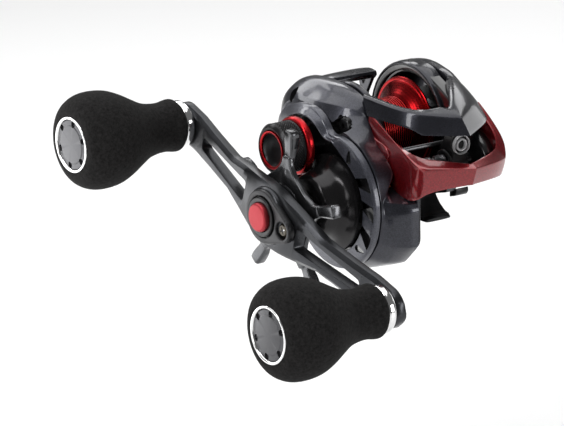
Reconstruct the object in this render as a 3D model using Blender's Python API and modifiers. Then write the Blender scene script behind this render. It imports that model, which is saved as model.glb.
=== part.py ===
"""Low-profile baitcasting reel: power handle with two foam knobs, star drag, gear train and level wind.

World frame, in metres: X is the spool's axis with the handle on the -X side, -Y is the front where the
line leaves, +Z is up, and the origin is the middle of the reel foot's flat underside.
Outlines of side plates are drawn as (forward, up) pairs in millimetres, where forward is -Y.
"""

import math

import bmesh
import bpy
from mathutils import Matrix, Vector

MM = 0.001

# Driving dimensions, in millimetres.
SPOOL_UP = 23.6
SPOOL_RADIUS = 16.5
SPOOL_LEFT, SPOOL_RIGHT = -11.0, 12.5
ARBOR_RADIUS = 10.2
DRIVE_FORWARD, DRIVE_UP = 13.63, 5.93
WORM_FORWARD, WORM_UP = 33.0, 19.0
ROD_FORWARD, ROD_UP = 29.3, 25.0
HANDLE_TILT = math.radians(-16.4)
HANDLE_REACH = 61.0
FOOT_FRONT, FOOT_REAR = 33.4, -28.0
GUIDE_X = 7.0
WALL_LEFT, WALL_RIGHT = -13.2, 13.0
PALM_PLANE = 19.0
COVER_OUTER = -25.6
PLATE_OUTER = -29.2
GAP = 0.3

# Gear train: teeth and modules follow from the distances between the axes.
DRIVE_TEETH, PINION_TEETH = 63, 10
IDLER_TEETH, WORM_TEETH = 44, 16

SPOOL_AXIS = (0.0, SPOOL_UP)
LOCK_SCREW = (DRIVE_FORWARD + 11.2, DRIVE_UP - 2.0)
DRIVE_AXIS = (DRIVE_FORWARD, DRIVE_UP)
WORM_AXIS = (WORM_FORWARD, WORM_UP)
FRONT_KNOB = (
    DRIVE_FORWARD + HANDLE_REACH * math.cos(HANDLE_TILT),
    DRIVE_UP + HANDLE_REACH * math.sin(HANDLE_TILT),
)
REAR_KNOB = (2 * DRIVE_FORWARD - FRONT_KNOB[0], 2 * DRIVE_UP - FRONT_KNOB[1])

# Local x, y, z of a turned or flat piece point forward, up and towards the handle side.
SIDE_VIEW = Matrix(((0, 0, -1, 0), (-1, 0, 0, 0), (0, 1, 0, 0), (0, 0, 0, 1)))

for old in list(bpy.data.objects):
    bpy.data.objects.remove(old, do_unlink=True)

reel = bpy.data.collections.new("baitcasting_reel")
cutters = bpy.data.collections.new("cutters")
cutters.hide_render = True
bpy.context.scene.collection.children.link(reel)
bpy.context.scene.collection.children.link(cutters)


def material(name, colour, roughness, metallic):
    """A Principled material in linear colour."""
    made = bpy.data.materials.new(name)
    made.use_nodes = True
    shader = made.node_tree.nodes["Principled BSDF"]
    shader.inputs["Base Color"].default_value = (*colour, 1)
    shader.inputs["Roughness"].default_value = roughness
    shader.inputs["Metallic"].default_value = metallic
    made.diffuse_color = (*colour, 1)
    return made


GUNMETAL = material("gunmetal_paint", (0.075, 0.078, 0.095), 0.3, 0.8)
RED_PAINT = material("candy_red_paint", (0.28, 0.01, 0.02), 0.25, 0.7)
RED_ANODISED = material("red_anodised", (0.65, 0.03, 0.04), 0.25, 0.9)
BLACK_METAL = material("black_metal", (0.015, 0.015, 0.018), 0.35, 0.7)
BLACK_PLASTIC = material("black_plastic", (0.012, 0.012, 0.013), 0.5, 0.0)
HANDLE_METAL = material("handle_alloy", (0.16, 0.165, 0.18), 0.32, 0.9)
STEEL = material("steel", (0.6, 0.6, 0.6), 0.2, 1.0)
BRASS = material("brass", (0.7, 0.5, 0.2), 0.3, 1.0)
EVA = material("eva_foam", (0.012, 0.012, 0.012), 0.9, 0.0)
CAP_METAL = material("grey_anodised", (0.2, 0.2, 0.21), 0.35, 0.8)
CERAMIC = material("grey_ceramic", (0.25, 0.25, 0.26), 0.2, 0.0)
CARBON = material("carbon_fibre", (0.02, 0.02, 0.022), 0.6, 0.0)


def link(name, mesh, paint=None, axis=(0.0, 0.0), turned=True):
    """Put a mesh in the scene, as a cutter when it has no paint."""
    made = bpy.data.objects.new(name, mesh)
    if turned:
        made.matrix_world = Matrix.Translation((0, -axis[0] * MM, axis[1] * MM)) @ SIDE_VIEW
    if paint:
        mesh.materials.append(paint)
        reel.objects.link(made)
    else:
        cutters.objects.link(made)
        made.hide_render = True
        made.display_type = "WIRE"
    return made


def cut(piece, *tools, operation="DIFFERENCE"):
    """Subtract tools from a piece, or join them to it."""
    for tool in tools:
        boolean = piece.modifiers.new(tool.name, "BOOLEAN")
        boolean.operation = operation
        boolean.solver = "EXACT"
        boolean.object = tool
    return piece


def bevel(piece, width, segments=2, angle=35):
    """Round the piece's sharp edges."""
    rounding = piece.modifiers.new("bevel", "BEVEL")
    rounding.width = width * MM
    rounding.segments = segments
    rounding.angle_limit = math.radians(angle)
    rounding.harden_normals = False
    return piece


def lathe(name, profile, paint=None, axis=SPOOL_AXIS, steps=32):
    """Turn (radius, x) points round an axis along X. They run down the outside from the handle side.

    A profile that starts or ends off the axis is closed by joining its two ends.
    """
    mesh = bpy.data.meshes.new(name)
    points = [(radius * MM, 0, -x * MM) for radius, x in profile]
    edges = [(i, i + 1) for i in range(len(points) - 1)]
    if profile[0][0] > 0:
        edges.append((len(points) - 1, 0))
    mesh.from_pydata(points, edges, [])
    made = link(name, mesh, paint, axis)
    screw = made.modifiers.new("turn", "SCREW")
    screw.steps = screw.render_steps = steps
    screw.use_merge_vertices = True
    screw.merge_threshold = 0.00001
    screw.use_smooth_shade = True
    screw.use_normal_calculate = False
    return made


def ring(name, inner, outer, left, right, paint=None, axis=SPOOL_AXIS, steps=24):
    """A plain washer or bush between two planes across X."""
    return lathe(name, [(outer, left), (outer, right), (inner, right), (inner, left)], paint, axis, steps)


def rod(name, radius, left, right, paint=None, axis=SPOOL_AXIS, steps=24):
    """A plain round bar along X."""
    return lathe(name, [(0, left), (radius, left), (radius, right), (0, right)], paint, axis, steps)


def arc(centre, radius, start, end, count=12):
    """Points on an arc, angles in degrees from forward towards up."""
    turns = [math.radians(start + (end - start) * i / count) for i in range(count + 1)]
    return [(centre[0] + radius * math.cos(a), centre[1] + radius * math.sin(a)) for a in turns]


def fillet(corners, radius, count=4):
    """Replace each corner of a closed outline by a short curve."""
    rounded = []
    for before, corner, after in zip(corners[-1:] + corners[:-1], corners, corners[1:] + corners[:1]):
        here = Vector(corner)
        back = Vector(before) - here
        ahead = Vector(after) - here
        reach = min(radius, back.length * 0.45, ahead.length * 0.45)
        start = here + back.normalized() * reach
        end = here + ahead.normalized() * reach
        for i in range(count + 1):
            t = i / count
            rounded.append(tuple(start * (1 - t) ** 2 + here * 2 * t * (1 - t) + end * t**2))
    return rounded


def grown(points, amount):
    """Move a closed outline outward by an amount, or inward when it is negative."""
    pairs = list(zip(points[-1:] + points[:-1], points[1:] + points[:1]))
    area = sum(a[0] * b[1] - b[0] * a[1] for a, b in zip(points, points[1:] + points[:1]))
    moved = []
    for (forward, up), (before, after) in zip(points, pairs):
        across = Vector((after[1] - before[1], before[0] - after[0])).normalized()
        step = across * amount * (1 if area > 0 else -1)
        moved.append((forward + step.x, up + step.y))
    return moved


def plate(name, outlines, left, right, paint=None, axis=(0.0, 0.0)):
    """A flat piece between two planes across X. The first outline is the edge and the rest are holes."""
    drawn = bpy.data.curves.new(name, "CURVE")
    drawn.dimensions = "2D"
    drawn.fill_mode = "BOTH"
    drawn.extrude = (right - left) / 2 * MM
    for outline in outlines:
        spline = drawn.splines.new("POLY")
        spline.points.add(len(outline) - 1)
        for point, (forward, up) in zip(spline.points, outline):
            point.co = (forward * MM, up * MM, 0, 1)
        spline.use_cyclic_u = True
    return meshed(name, drawn, paint, axis, -(left + right) / 2)


def meshed(name, drawn, paint, axis, shift=0.0):
    """Turn a curve into a closed mesh object."""
    helper = bpy.data.objects.new(name + "_curve", drawn)
    cutters.objects.link(helper)
    bpy.context.view_layer.update()
    mesh = bpy.data.meshes.new_from_object(helper.evaluated_get(bpy.context.evaluated_depsgraph_get()))
    bpy.data.objects.remove(helper, do_unlink=True)
    edit = bmesh.new()
    edit.from_mesh(mesh)
    bmesh.ops.remove_doubles(edit, verts=edit.verts, dist=1e-7)
    bmesh.ops.translate(edit, verts=edit.verts, vec=(0, 0, shift * MM))
    edit.to_mesh(mesh)
    edit.free()
    mesh.name = name
    mesh.materials.clear()
    return link(name, mesh, paint, axis)


def loft(name, sections, paint=None, smooth=False):
    """Skin over closed sections of equal count, given as (x, forward, up), with flat ends."""
    edit = bmesh.new()
    rows = [[edit.verts.new((x * MM, -f * MM, z * MM)) for x, f, z in section] for section in sections]
    count = len(rows[0])
    for first, second in zip(rows, rows[1:]):
        for i in range(count):
            j = (i + 1) % count
            edit.faces.new((first[i], first[j], second[j], second[i]))
    edit.faces.new(rows[0][::-1])
    edit.faces.new(rows[-1])
    bmesh.ops.recalc_face_normals(edit, faces=edit.faces)
    if edit.calc_volume(signed=True) < 0:
        bmesh.ops.reverse_faces(edit, faces=edit.faces)
    for face in edit.faces:
        face.smooth = smooth
    mesh = bpy.data.meshes.new(name)
    edit.to_mesh(mesh)
    edit.free()
    return link(name, mesh, paint, turned=False)


def box(name, low, high, paint=None):
    """A block between two (x, forward, up) corners."""
    edit = bmesh.new()
    bmesh.ops.create_cube(edit, size=1)
    size = [(b - a) * MM for a, b in zip(low, high)]
    middle = [(a + b) / 2 * MM for a, b in zip(low, high)]
    bmesh.ops.scale(edit, vec=size, verts=edit.verts)
    bmesh.ops.translate(edit, vec=(middle[0], -middle[1], middle[2]), verts=edit.verts)
    mesh = bpy.data.meshes.new(name)
    edit.to_mesh(mesh)
    edit.free()
    return link(name, mesh, paint, turned=False)


def gear_outline(teeth, module, first_tooth):
    """Straight-flanked teeth with clearance, the first one centred on an angle in radians."""
    pitch = 2 * math.pi / teeth
    tip = module * (teeth / 2 + 0.72)
    root = module * (teeth / 2 - 1.05)
    points = []
    for tooth in range(teeth):
        middle = first_tooth + tooth * pitch
        for radius, side in ((root, -0.31), (tip, -0.13), (tip, 0.13), (root, 0.31)):
            turn = middle + side * pitch
            points.append((radius * math.cos(turn), radius * math.sin(turn)))
    return points


def heading(start, end):
    """Distance and angle from one side-view point to another."""
    return math.dist(start, end), math.atan2(end[1] - start[1], end[0] - start[0])


# Side outlines.


def case_outlines():
    """Gear case at the frame and at the outer side plate: high rear shoulder, round drum, square front corner."""
    pairs = [
        ((-21, 13), (-19.5, 13)),
        ((-25, 21.5), (-24.2, 21.5)),
        ((-26, 28), (-23.8, 28)),
        ((-25, 35), (-20.3, 32.4)),
        ((-20.5, 39.2), (-14, 34.8)),
        ((-12, 41.6), (-6, 35.4)),
        ((1, 41.4), (2, 34.6)),
        ((9, 39.4), (8.5, 32.4)),
        ((13.5, 37.2), (12.5, 30.3)),
        ((15.9, 34.5), (16.5, 30.1)),
        ((16.4, 24.2), (24, 27.9)),
        ((22, 20.2), (30, 23.9)),
        ((23.4, 15.2), (34, 19.2)),
        ((40.6, 9.9), (37.4, 10.5)),
        ((42, 7.5), (38, 5)),
        ((41.7, -5.6), (36.2, -2.9)),
        ((34.5, -13), (31.5, -10.5)),
        ((22, -18), (22, -17)),
        ((12, -18.8), (12, -18.4)),
        ((1, -15.8), (1, -15.2)),
        ((-7, -8), (-6.4, -7.6)),
        ((-11.5, 0.5), (-10.6, 0.8)),
    ]
    return [pair[0] for pair in pairs], [pair[1] for pair in pairs]


def plate_outline():
    """Outer side plate: the round gear cover with a lobe that reaches back round the spool's axis."""
    lobe = [(-13.4, 8), (-17.6, 15), (-19.4, 21.5), (-19.2, 28), (-15.6, 32.3), (-10, 34.8), (-4, 35.4), (3, 33.9)]
    return arc(DRIVE_AXIS, 23.6, 84, -165, 26) + lobe


def palm_outline(grow=0.0, taper=0.0):
    """Palm side: round over the spool and drawn out to the nose in front. Taper pulls the nose back."""
    over = arc(SPOOL_AXIS, 21.4, 200, 48, 20)
    rest = [(22, 38), (29, 35.4), (34, 30.6), (43.2, 24.4), (44.4, 19), (42, 14), (34, 10.6), (25, 6.2)]
    rest += [(15, 3.2), (6, 2.2), (-8, 3.2), (-15, 8)]
    middle = (4.0, 22.0)
    points = []
    for forward, up in over + rest:
        if forward > 14:
            forward = 14 + (forward - 14) * (1 - taper)
        away = math.dist(middle, (forward, up))
        scale = (away + grow) / away
        points.append((middle[0] + (forward - middle[0]) * scale, middle[1] + (up - middle[1]) * scale))
    return points


def build_frame():
    """One-piece frame: two walls, floor, rear bridge and foot pedestal, bored for the shafts."""
    left_wall = [(-20, 8), (-22.5, 28), (-20, 35), (-10, 40), (1, 40), (9, 38), (14, 35), (26, 29.6)]
    left_wall += [(38.5, 25), (41, 21), (41, -5), (34, -12), (22, -16.5), (4, -15), (-8, -4)]
    frame = plate("frame", [fillet(left_wall, 2.0, 3)], WALL_LEFT, WALL_LEFT + 1.5, GUNMETAL)
    palm_wall = plate("palm_wall", [palm_outline(-0.4)], WALL_RIGHT, PALM_PLANE - GAP)
    under = [(-19, 2.5), (15, 2.5), (25, 6.6), (34, 11.0), (41, 13.2), (41, 15.0), (34, 13.0), (25, 8.8), (15, 5.4)]
    bridges = plate("bridges", [[*under, (-18.6, 5.4), (-18.8, 19), (-21.6, 19), (-21.6, 2.9)]], -12.4, 14.1)
    stem = plate("foot_stem", [[(-10, 2.3), (29.5, 2.3), (31, 3.2), (26, 7.5), (14, 4.7), (-10, 4.7)]], -5.8, 5.8)
    cut(frame, palm_wall, bridges, stem, operation="UNION")
    steps = [(0, 10), (19.6, 10), (19.6, 14.6), (SPOOL_RADIUS + 0.8, 14.6), (SPOOL_RADIUS + 0.8, 22), (0, 22)]
    mouth = lathe("spool_mouth", steps, steps=40)
    pinion_hole = rod("pinion_hole", 5.0, -16, -9, steps=16)
    shaft_seat = rod("shaft_seat", 2.9, -16, -9, axis=DRIVE_AXIS, steps=16)
    worm_left = rod("worm_left", 2.5, -16, -9, axis=WORM_AXIS, steps=12)
    worm_right = rod("worm_right", 2.5, 12, 15, axis=WORM_AXIS, steps=12)
    rod_hole = rod("rod_hole", 1.15, -16, 15, axis=(ROD_FORWARD, ROD_UP), steps=12)
    cut(frame, mouth, pinion_hole, shaft_seat, worm_left, worm_right, rod_hole)
    ring("spool_mouth_liner", 17.3, 19.3, 12.9, 14.3, BLACK_METAL, steps=40)
    latch = [(30.5, 7.4), (33.8, 8.8), (33.8, 6.6), (30.5, 5.6)]
    plate("palm_plate_latch", [latch], 8.2, 13.6, BLACK_METAL)


def build_foot():
    """Reel foot: a flat tongue, thick under the frame and thin at both ends."""
    sections = []
    stations = ((FOOT_REAR, 2.6, 1.1), (-24, 5.4, 1.2), (-15, 6.8, 1.5), (-11, 7.2, 2.1), (17, 7.2, 2.1))
    stations += ((21, 6.8, 1.5), (30, 5.6, 1.2), (FOOT_FRONT, 2.8, 1.1))
    for forward, half, thick in stations:
        sections.append([(-half, forward, 0), (half, forward, 0), (half, forward, thick), (-half, forward, thick)])
    foot = loft("reel_foot", sections, BLACK_METAL)
    for place in (-6.0, 12.0):
        hole = lathe("foot_hole", [(0, -4), (1.5, -4), (1.5, 0), (0, 0)], axis=(0, 0), steps=20)
        hole.matrix_world = Matrix.Translation((0, -place * MM, -1 * MM))
        cut(foot, hole)


def build_foot_rivets():
    """Rivets that hold the foot under the frame's floor."""
    for name, place in (("foot_rivet_rear", -6.0), ("foot_rivet_front", 12.0)):
        rivet = lathe(name, [(0, -2.2), (1.2, -2.2), (1.2, -0.3), (0, -0.3)], STEEL, (0, 0), 20)
        rivet.matrix_world = Matrix.Translation((0, -place * MM, 0))


def build_gear_case():
    """Handle-side cover and outer side plate, hollow round the gears."""
    near, far = case_outlines()
    sections = []
    for x, share in ((WALL_LEFT - GAP, 0), (-16.9, 0), (-21, 0.34), (-24.6, 0.84), (COVER_OUTER, 1)):
        blend = [(a + (c - a) * share, b + (d - b) * share) for (a, b), (c, d) in zip(near, far)]
        sections.append([(x, forward, up) for forward, up in blend])
    cover = loft("handle_side_cover", sections, GUNMETAL)
    drum = [(0, -25.2), (23.9, -25.2), (22.6, -17.1), (0, -17.1)]
    cut(cover, lathe("gear_drum", drum, axis=DRIVE_AXIS, steps=40), operation="UNION")
    room = [(0, -30), (13.6, -30), (13.6, -24.4), (20.6, -24.4), (20.6, -10), (0, -10)]
    gears = lathe("gear_room", room, axis=DRIVE_AXIS, steps=36)
    pinion = rod("pinion_room", 6.2, -30, -10.5)
    worm = rod("worm_gear_room", 7.6, -15.4, -10, axis=WORM_AXIS)
    middle = ((DRIVE_FORWARD + WORM_FORWARD) / 2 + 3, (DRIVE_UP + WORM_UP) / 2 + 2)
    bridge = rod("idler_room", 8.0, -15.4, -10, axis=middle)
    yoke = box("yoke_room", (-24.9, -17.5, 19), (-10, 0, 30))
    screw_room = rod("upper_screw_room", 3.6, -30, -21.5, axis=(9.6, 30.6))
    cut(cover, gears, pinion, worm, bridge, yoke, screw_room)

    edge = plate_outline()
    steps = ((COVER_OUTER - GAP, 0), (-27.3, 0), (-28.5, -0.6), (PLATE_OUTER, -1.6))
    sections = [[(x, f, z) for f, z in grown(edge, amount)] for x, amount in steps]
    side = loft("drag_side_plate", sections, GUNMETAL)
    bore = rod("clutch_bore", 9.3, -32, -24, axis=DRIVE_AXIS)
    tunnel = rod("pinion_tunnel", 4.6, -32, -24)
    neck = [(7.2, -42), (7.2, -33.6), (5.5, -33.6), (5.5, -26.4), (4.0, -26.4), (4.0, -37), (4.7, -37), (4.7, -42)]
    recess = plate("star_recess", [recess_outline()], -32, -28.1)
    corner = rod("screw_corner", 3.8, -32, -24, axis=(9.6, 30.6))
    cut(side, bore, corner, recess, tunnel)
    cut(side, lathe("cap_boss", neck), operation="UNION")
    for start in (40, 14, -14):
        vent = [*arc((0, 0), 18.4, start, start - 12, 2), *arc((0, 0), 21.6, start - 18, start - 6, 2)]
        cut(side, plate("vent", [vent], -32, -27.0, axis=DRIVE_AXIS))


def recess_outline():
    """Sunk floor round the star and the cast-control cap: two circles and their outer tangents."""
    reach, turn = heading(SPOOL_AXIS, DRIVE_AXIS)
    lean = math.degrees(math.asin((17.2 - 10.3) / reach))
    turn = math.degrees(turn)
    small = arc(SPOOL_AXIS, 10.3, turn + 90 + lean, turn + 270 - lean, 12)
    large = arc(DRIVE_AXIS, 17.2, turn - 90 - lean, turn + 90 + lean, 18)
    return small + large


def build_palm_side():
    """Palm cover shell, its brake magnets and the outer dial."""
    sections = []
    for out, grow, taper in ((0, 0, 0), (3.6, -0.3, 0.18), (6.4, -1.6, 0.42), (8.2, -3.8, 0.62), (8.8, -6.2, 0.75)):
        sections.append([(PALM_PLANE + out, f, z) for f, z in palm_outline(grow, taper)])
    cover = loft("palm_side_cover", sections, GUNMETAL, smooth=True)
    room = [[(PALM_PLANE + out, f, z) for f, z in palm_outline(grow, taper)]
            for out, grow, taper in ((-1, -1.8, 0.06), (3.4, -2.2, 0.24), (6.2, -5.5, 0.55))]
    pocket = rod("dial_pocket", 9.2, PALM_PLANE + 7.6, PALM_PLANE + 10)
    boss = ring("bearing_boss", 4.7, 6.6, PALM_PLANE + 2, PALM_PLANE + 6.8)
    cut(cover, loft("palm_room", room), pocket)
    cut(cover, boss, operation="UNION")
    ring("brake_magnet_ring", 7.2, 11.5, PALM_PLANE + 3.0, PALM_PLANE + 5.1, STEEL)
    ring("palm_bearing", 1.5, 4.4, PALM_PLANE + 3.0, PALM_PLANE + 5.8, STEEL, steps=32)
    dial = [(0, PALM_PLANE + 7.9), (8.7, PALM_PLANE + 7.9), (8.7, PALM_PLANE + 11), (0, PALM_PLANE + 11)]
    bevel(lathe("brake_dial", dial, BLACK_PLASTIC, steps=28), 0.5, 1, 50)


def build_hood():
    """Bridge over the line guide: a pointed band in front and a deck that runs to the palm side."""
    sections = [
        [(-17.0, 16.9, 35.6), (-16.2, 12.8, 40.4), (-13.4, 10.5, 41.4), (-13.6, 14.0, 36.6)],
        [(-14.8, 29.0, 34.9), (-14.2, 25.5, 40.2), (-11.6, 24.0, 41.0), (-11.8, 26.5, 36.2)],
        [(-11.0, 39.4, 34.0), (-10.4, 35.4, 39.8), (-8.0, 33.4, 40.5), (-8.2, 35.5, 35.4)],
        [(1.0, 50.5, 34.0), (1.0, 46.2, 39.0), (-1.5, 38.6, 40.9), (-1.0, 40.5, 36.6)],
        [(15.6, 40.0, 34.4), (15.4, 36.6, 39.4), (8.0, 27.0, 43.0), (8.2, 27.6, 40.6)],
        [(19.4, 35.6, 34.2), (19.4, 32.0, 38.4), (17.0, 18.5, 44.4), (17.0, 20.5, 41.0)],
    ]
    hood = loft("hood", sections, GUNMETAL)
    bevel(hood, 0.4, 1, 25)
    mouth = rod("hood_mouth", 21.4, 12.6, 20)
    wall = box("hood_wall_gap", (-13.5, 0, 30), (-11.4, 17.5, 40.8))
    ledge = plate("hood_palm_gap", [palm_outline(0.3)], 12.7, 21)
    cut(hood, mouth, wall, ledge)


def build_cowl():
    """Front cowl: handle-side panel, pointed nose lip and a strip up the palm side."""
    sections = [
        [(-16.6, 17.0, 24.6), (-16.6, 17.0, 34.6), (-15.5, 17.0, 34.6), (-15.5, 17.0, 24.6)],
        [(-16.6, 22.6, 20.9), (-16.6, 24.0, 32.4), (-15.5, 24.0, 32.4), (-15.5, 22.6, 20.9)],
        [(-16.6, 24.0, 15.8), (-16.6, 30.0, 30.0), (-15.5, 30.0, 30.0), (-15.5, 24.0, 15.8)],
        [(-16.4, 41.9, 10.7), (-16.0, 42.0, 23.4), (-15.3, 41.4, 24.6), (-15.3, 41.2, 10.7)],
        [(-14.6, 44.0, 13.4), (-14.0, 45.4, 22.8), (-10.5, 41.6, 24.8), (-11.0, 41.4, 14.2)],
        [(1.5, 51.0, 15.6), (1.5, 52.5, 22.6), (0.8, 46.4, 24.8), (0.8, 45.6, 16.2)],
        [(17.6, 46.8, 15.0), (17.8, 48.0, 23.0), (13.8, 44.0, 25.0), (13.8, 43.6, 16.0)],
        [(20.4, 44.4, 14.6), (20.6, 46.2, 24.4), (17.6, 43.0, 26.4), (17.6, 43.0, 16.0)],
        [(20.6, 38.0, 25.6), (20.6, 39.6, 29.6), (17.6, 37.6, 30.4), (17.6, 37.6, 26.6)],
        [(20.6, 31.0, 31.6), (20.6, 32.6, 35.8), (17.6, 31.2, 36.4), (17.6, 31.2, 32.6)],
    ]
    cowl = loft("front_cowl", sections, RED_PAINT)
    bevel(cowl, 0.3, 1, 25)
    ledge = plate("cowl_palm_gap", [palm_outline(0.4)], 12.7, 30)
    cut(cowl, ledge)


def build_line_guide():
    """Worm, its gear, the rod that steadies the carriage, and the carriage with the line ring."""
    reach, turn = heading(DRIVE_AXIS, WORM_AXIS)
    module = 2 * reach / (IDLER_TEETH + WORM_TEETH)
    first = turn + math.pi + math.pi / WORM_TEETH
    hole = arc((0, 0), 1.8, 0, 337.5, 15)
    plate("worm_gear", [gear_outline(WORM_TEETH, module, first), hole], -15.0, -13.6, BRASS, WORM_AXIS)
    thread = []
    turns, x = 7, -9.4
    for _ in range(turns):
        thread += [(3.0, x), (3.0, x + 1.9), (2.3, x + 2.2), (2.3, x + 2.9)]
        x += 3.0
    profile = [(0, -15.1), (1.5, -15.1), (1.5, -12.6), (2.0, -12.6), (2.0, -9.8), *thread]
    profile += [(2.3, 11.6), (2.0, 11.9), (2.0, 14.2), (0, 14.2)]
    lathe("worm_shaft", profile, STEEL, WORM_AXIS, 14)
    rod("guide_rod", 0.8, -13.0, 14.6, STEEL, (ROD_FORWARD, ROD_UP), 12)

    body = fillet([(28, 22), (28, 15.2), (37.2, 15.2), (37.2, 30.2), (34.6, 30.2), (34.6, 27.2), (27.4, 27.2)], 1, 2)
    carriage = plate("line_guide_carriage", [body], GUIDE_X - 3.6, GUIDE_X + 3.6, BLACK_PLASTIC)
    worm_bore = rod("carriage_worm_bore", 3.5, 0, 16, axis=WORM_AXIS, steps=16)
    rod_bore = rod("carriage_rod_bore", 1.15, 0, 16, axis=(ROD_FORWARD, ROD_UP), steps=12)
    eye = ring_along_y("carriage_eye", 0, 2.5, 20, 45)
    cut(carriage, worm_bore, rod_bore, eye)
    ring_along_y("line_guide_ring", 1.25, 3.1, 37.5, 38.7, CERAMIC)


def ring_along_y(name, inner, outer, rear, front, paint=None):
    """A turned ring that faces forward at the line guide."""
    if inner:
        profile = [(inner + 0.3, -front), (outer, -front + 0.3), (outer, -rear), (inner, -rear), (inner, -front + 0.4)]
    else:
        profile = [(0, -front), (outer, -front), (outer, -rear), (0, -rear)]
    made = lathe(name, profile, paint, (0, 0), 24)
    made.matrix_world = Matrix.Translation((GUIDE_X * MM, 0, 26.2 * MM)) @ Matrix.Rotation(math.pi / 2, 4, "X")
    return made


def build_spool():
    """Spool, its shaft and bearing, brake rotor, cast-control cap and rings."""
    profile = [(SPOOL_RADIUS - 0.3, SPOOL_LEFT), (SPOOL_RADIUS, SPOOL_LEFT + 0.3)]
    profile += [(SPOOL_RADIUS, SPOOL_LEFT + 1.0), (SPOOL_RADIUS - 0.4, SPOOL_LEFT + 1.2)]
    profile += [(ARBOR_RADIUS, SPOOL_LEFT + 1.7), (ARBOR_RADIUS, SPOOL_RIGHT - 1.7)]
    profile += [(SPOOL_RADIUS - 0.4, SPOOL_RIGHT - 1.2)]
    profile += [(SPOOL_RADIUS, SPOOL_RIGHT - 1.0), (SPOOL_RADIUS, SPOOL_RIGHT - 0.3)]
    profile += [(SPOOL_RADIUS - 0.3, SPOOL_RIGHT), (1.5, SPOOL_RIGHT), (1.5, SPOOL_LEFT)]
    lathe("spool", profile, RED_ANODISED, steps=40)
    rod("spool_shaft", 1.2, -41.5, PALM_PLANE + 4.9, STEEL, steps=12)
    ring("brake_rotor", 1.5, 9.5, SPOOL_RIGHT + GAP, SPOOL_RIGHT + 3.4, BLACK_METAL)
    ring("spool_bearing", 1.5, 4.4, -40.4, -38.0, STEEL, steps=32)

    base = [(9.6, -36.2), (9.9, -35.6), (9.9, -33.8), (7.5, -33.8), (7.5, -36.2)]
    lathe("cap_base_ring", base, RED_ANODISED)
    cap = [(0, -44.0), (6.5, -44.0), (6.7, -44.9), (7.9, -44.9), (9.0, -43.2), (9.0, -36.5), (7.5, -36.5)]
    cap += [(7.5, -42.6), (0, -42.6)]
    lathe("cast_control_cap", cap, BLACK_METAL)
    lathe("cap_inset_ring", [(6.2, -45.1), (6.2, -44.3), (5.2, -44.3), (5.2, -45.1)], RED_ANODISED)


def build_drive():
    """Drive shaft with its two gears, the drag stack, the one-way clutch and its dome."""
    reach, turn = heading(DRIVE_AXIS, SPOOL_AXIS)
    module = 2 * reach / (DRIVE_TEETH + PINION_TEETH)
    hole = arc((0, 0), 2.8, 0, 337.5, 15)
    plate("drive_gear", [gear_outline(DRIVE_TEETH, module, turn), hole], -20.6, -17.8, BRASS, DRIVE_AXIS)
    pinion = gear_outline(PINION_TEETH, module, turn + math.pi + math.pi / PINION_TEETH)
    bore = arc((0, 0), 1.6, 0, 330, 11)
    gear = plate("pinion_gear", [pinion, bore], -25.8, -15.2, BRASS, SPOOL_AXIS)
    groove = ring("yoke_groove", 2.3, 6.0, -23.0, -21.0, steps=16)
    cut(gear, groove)

    reach, turn = heading(DRIVE_AXIS, WORM_AXIS)
    module = 2 * reach / (IDLER_TEETH + WORM_TEETH)
    idler = [gear_outline(IDLER_TEETH, module, turn), hole]
    plate("level_wind_idler", idler, -15.0, -13.6, BLACK_PLASTIC, DRIVE_AXIS)
    ring("drag_washer_inner", 2.8, 13.0, -21.7, -20.9, CARBON, DRIVE_AXIS)
    ring("drag_plate_inner", 2.8, 13.0, -22.7, -22.0, STEEL, DRIVE_AXIS)
    ring("drag_washer_outer", 2.8, 13.0, -23.8, -23.0, CARBON, DRIVE_AXIS)
    ring("drag_pressure_plate", 2.8, 13.0, -25.3, -24.1, STEEL, DRIVE_AXIS)
    rod("drive_shaft", 2.5, -57.6, -12.0, STEEL, DRIVE_AXIS)
    ring("one_way_clutch_sleeve", 2.8, 5.0, -40.0, -25.6, STEEL, DRIVE_AXIS)
    ring("one_way_clutch", 5.3, 9.0, -33.4, -26.0, STEEL, DRIVE_AXIS)
    bell = [(9.8, -39.4), (10.9, -38.6), (12.0, -34.0), (13.6, -31.8), (16.5, -30.9), (16.5, -28.5), (15.6, -28.5)]
    bell += [(15.2, -30.1), (12.4, -31.2), (10.8, -34.0), (9.8, -37.8), (5.6, -38.0), (5.6, -39.4)]
    lathe("drag_dome", bell, BLACK_METAL, DRIVE_AXIS, 40)


def build_star():
    """Star drag: a hub with five tapering arms that end in bent finger tabs."""
    star = lathe("star_drag", [(8.0, -50.4), (10.6, -49.4), (10.6, -44.6), (7.4, -42), (2.8, -42), (2.8, -50.4)],
                 HANDLE_METAL, DRIVE_AXIS, 30)
    for index in range(5):
        turn = Matrix.Rotation(math.radians(16 + 72 * index), 4, "Z")
        blade = [(7.5, -5.6), (15, -2.4), (23.5, -1.6), (25, -1.0), (25, 2.6), (23.5, 3.2), (15, 3.8), (7.5, 7.4)]
        arm = plate("star_arm", [blade], -49.0, -47.2)
        tab = plate("star_tab", [fillet([(23.0, -2.6), (25.3, -2.6), (25.3, 4.4), (23.0, 4.4)], 0.7, 1)], -49.2, -45.4)
        for tool in (arm, tab):
            tool.matrix_world = Matrix.Translation((0, -DRIVE_FORWARD * MM, DRIVE_UP * MM)) @ SIDE_VIEW @ turn
        cut(star, arm, tab, operation="UNION")
    return star


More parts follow.
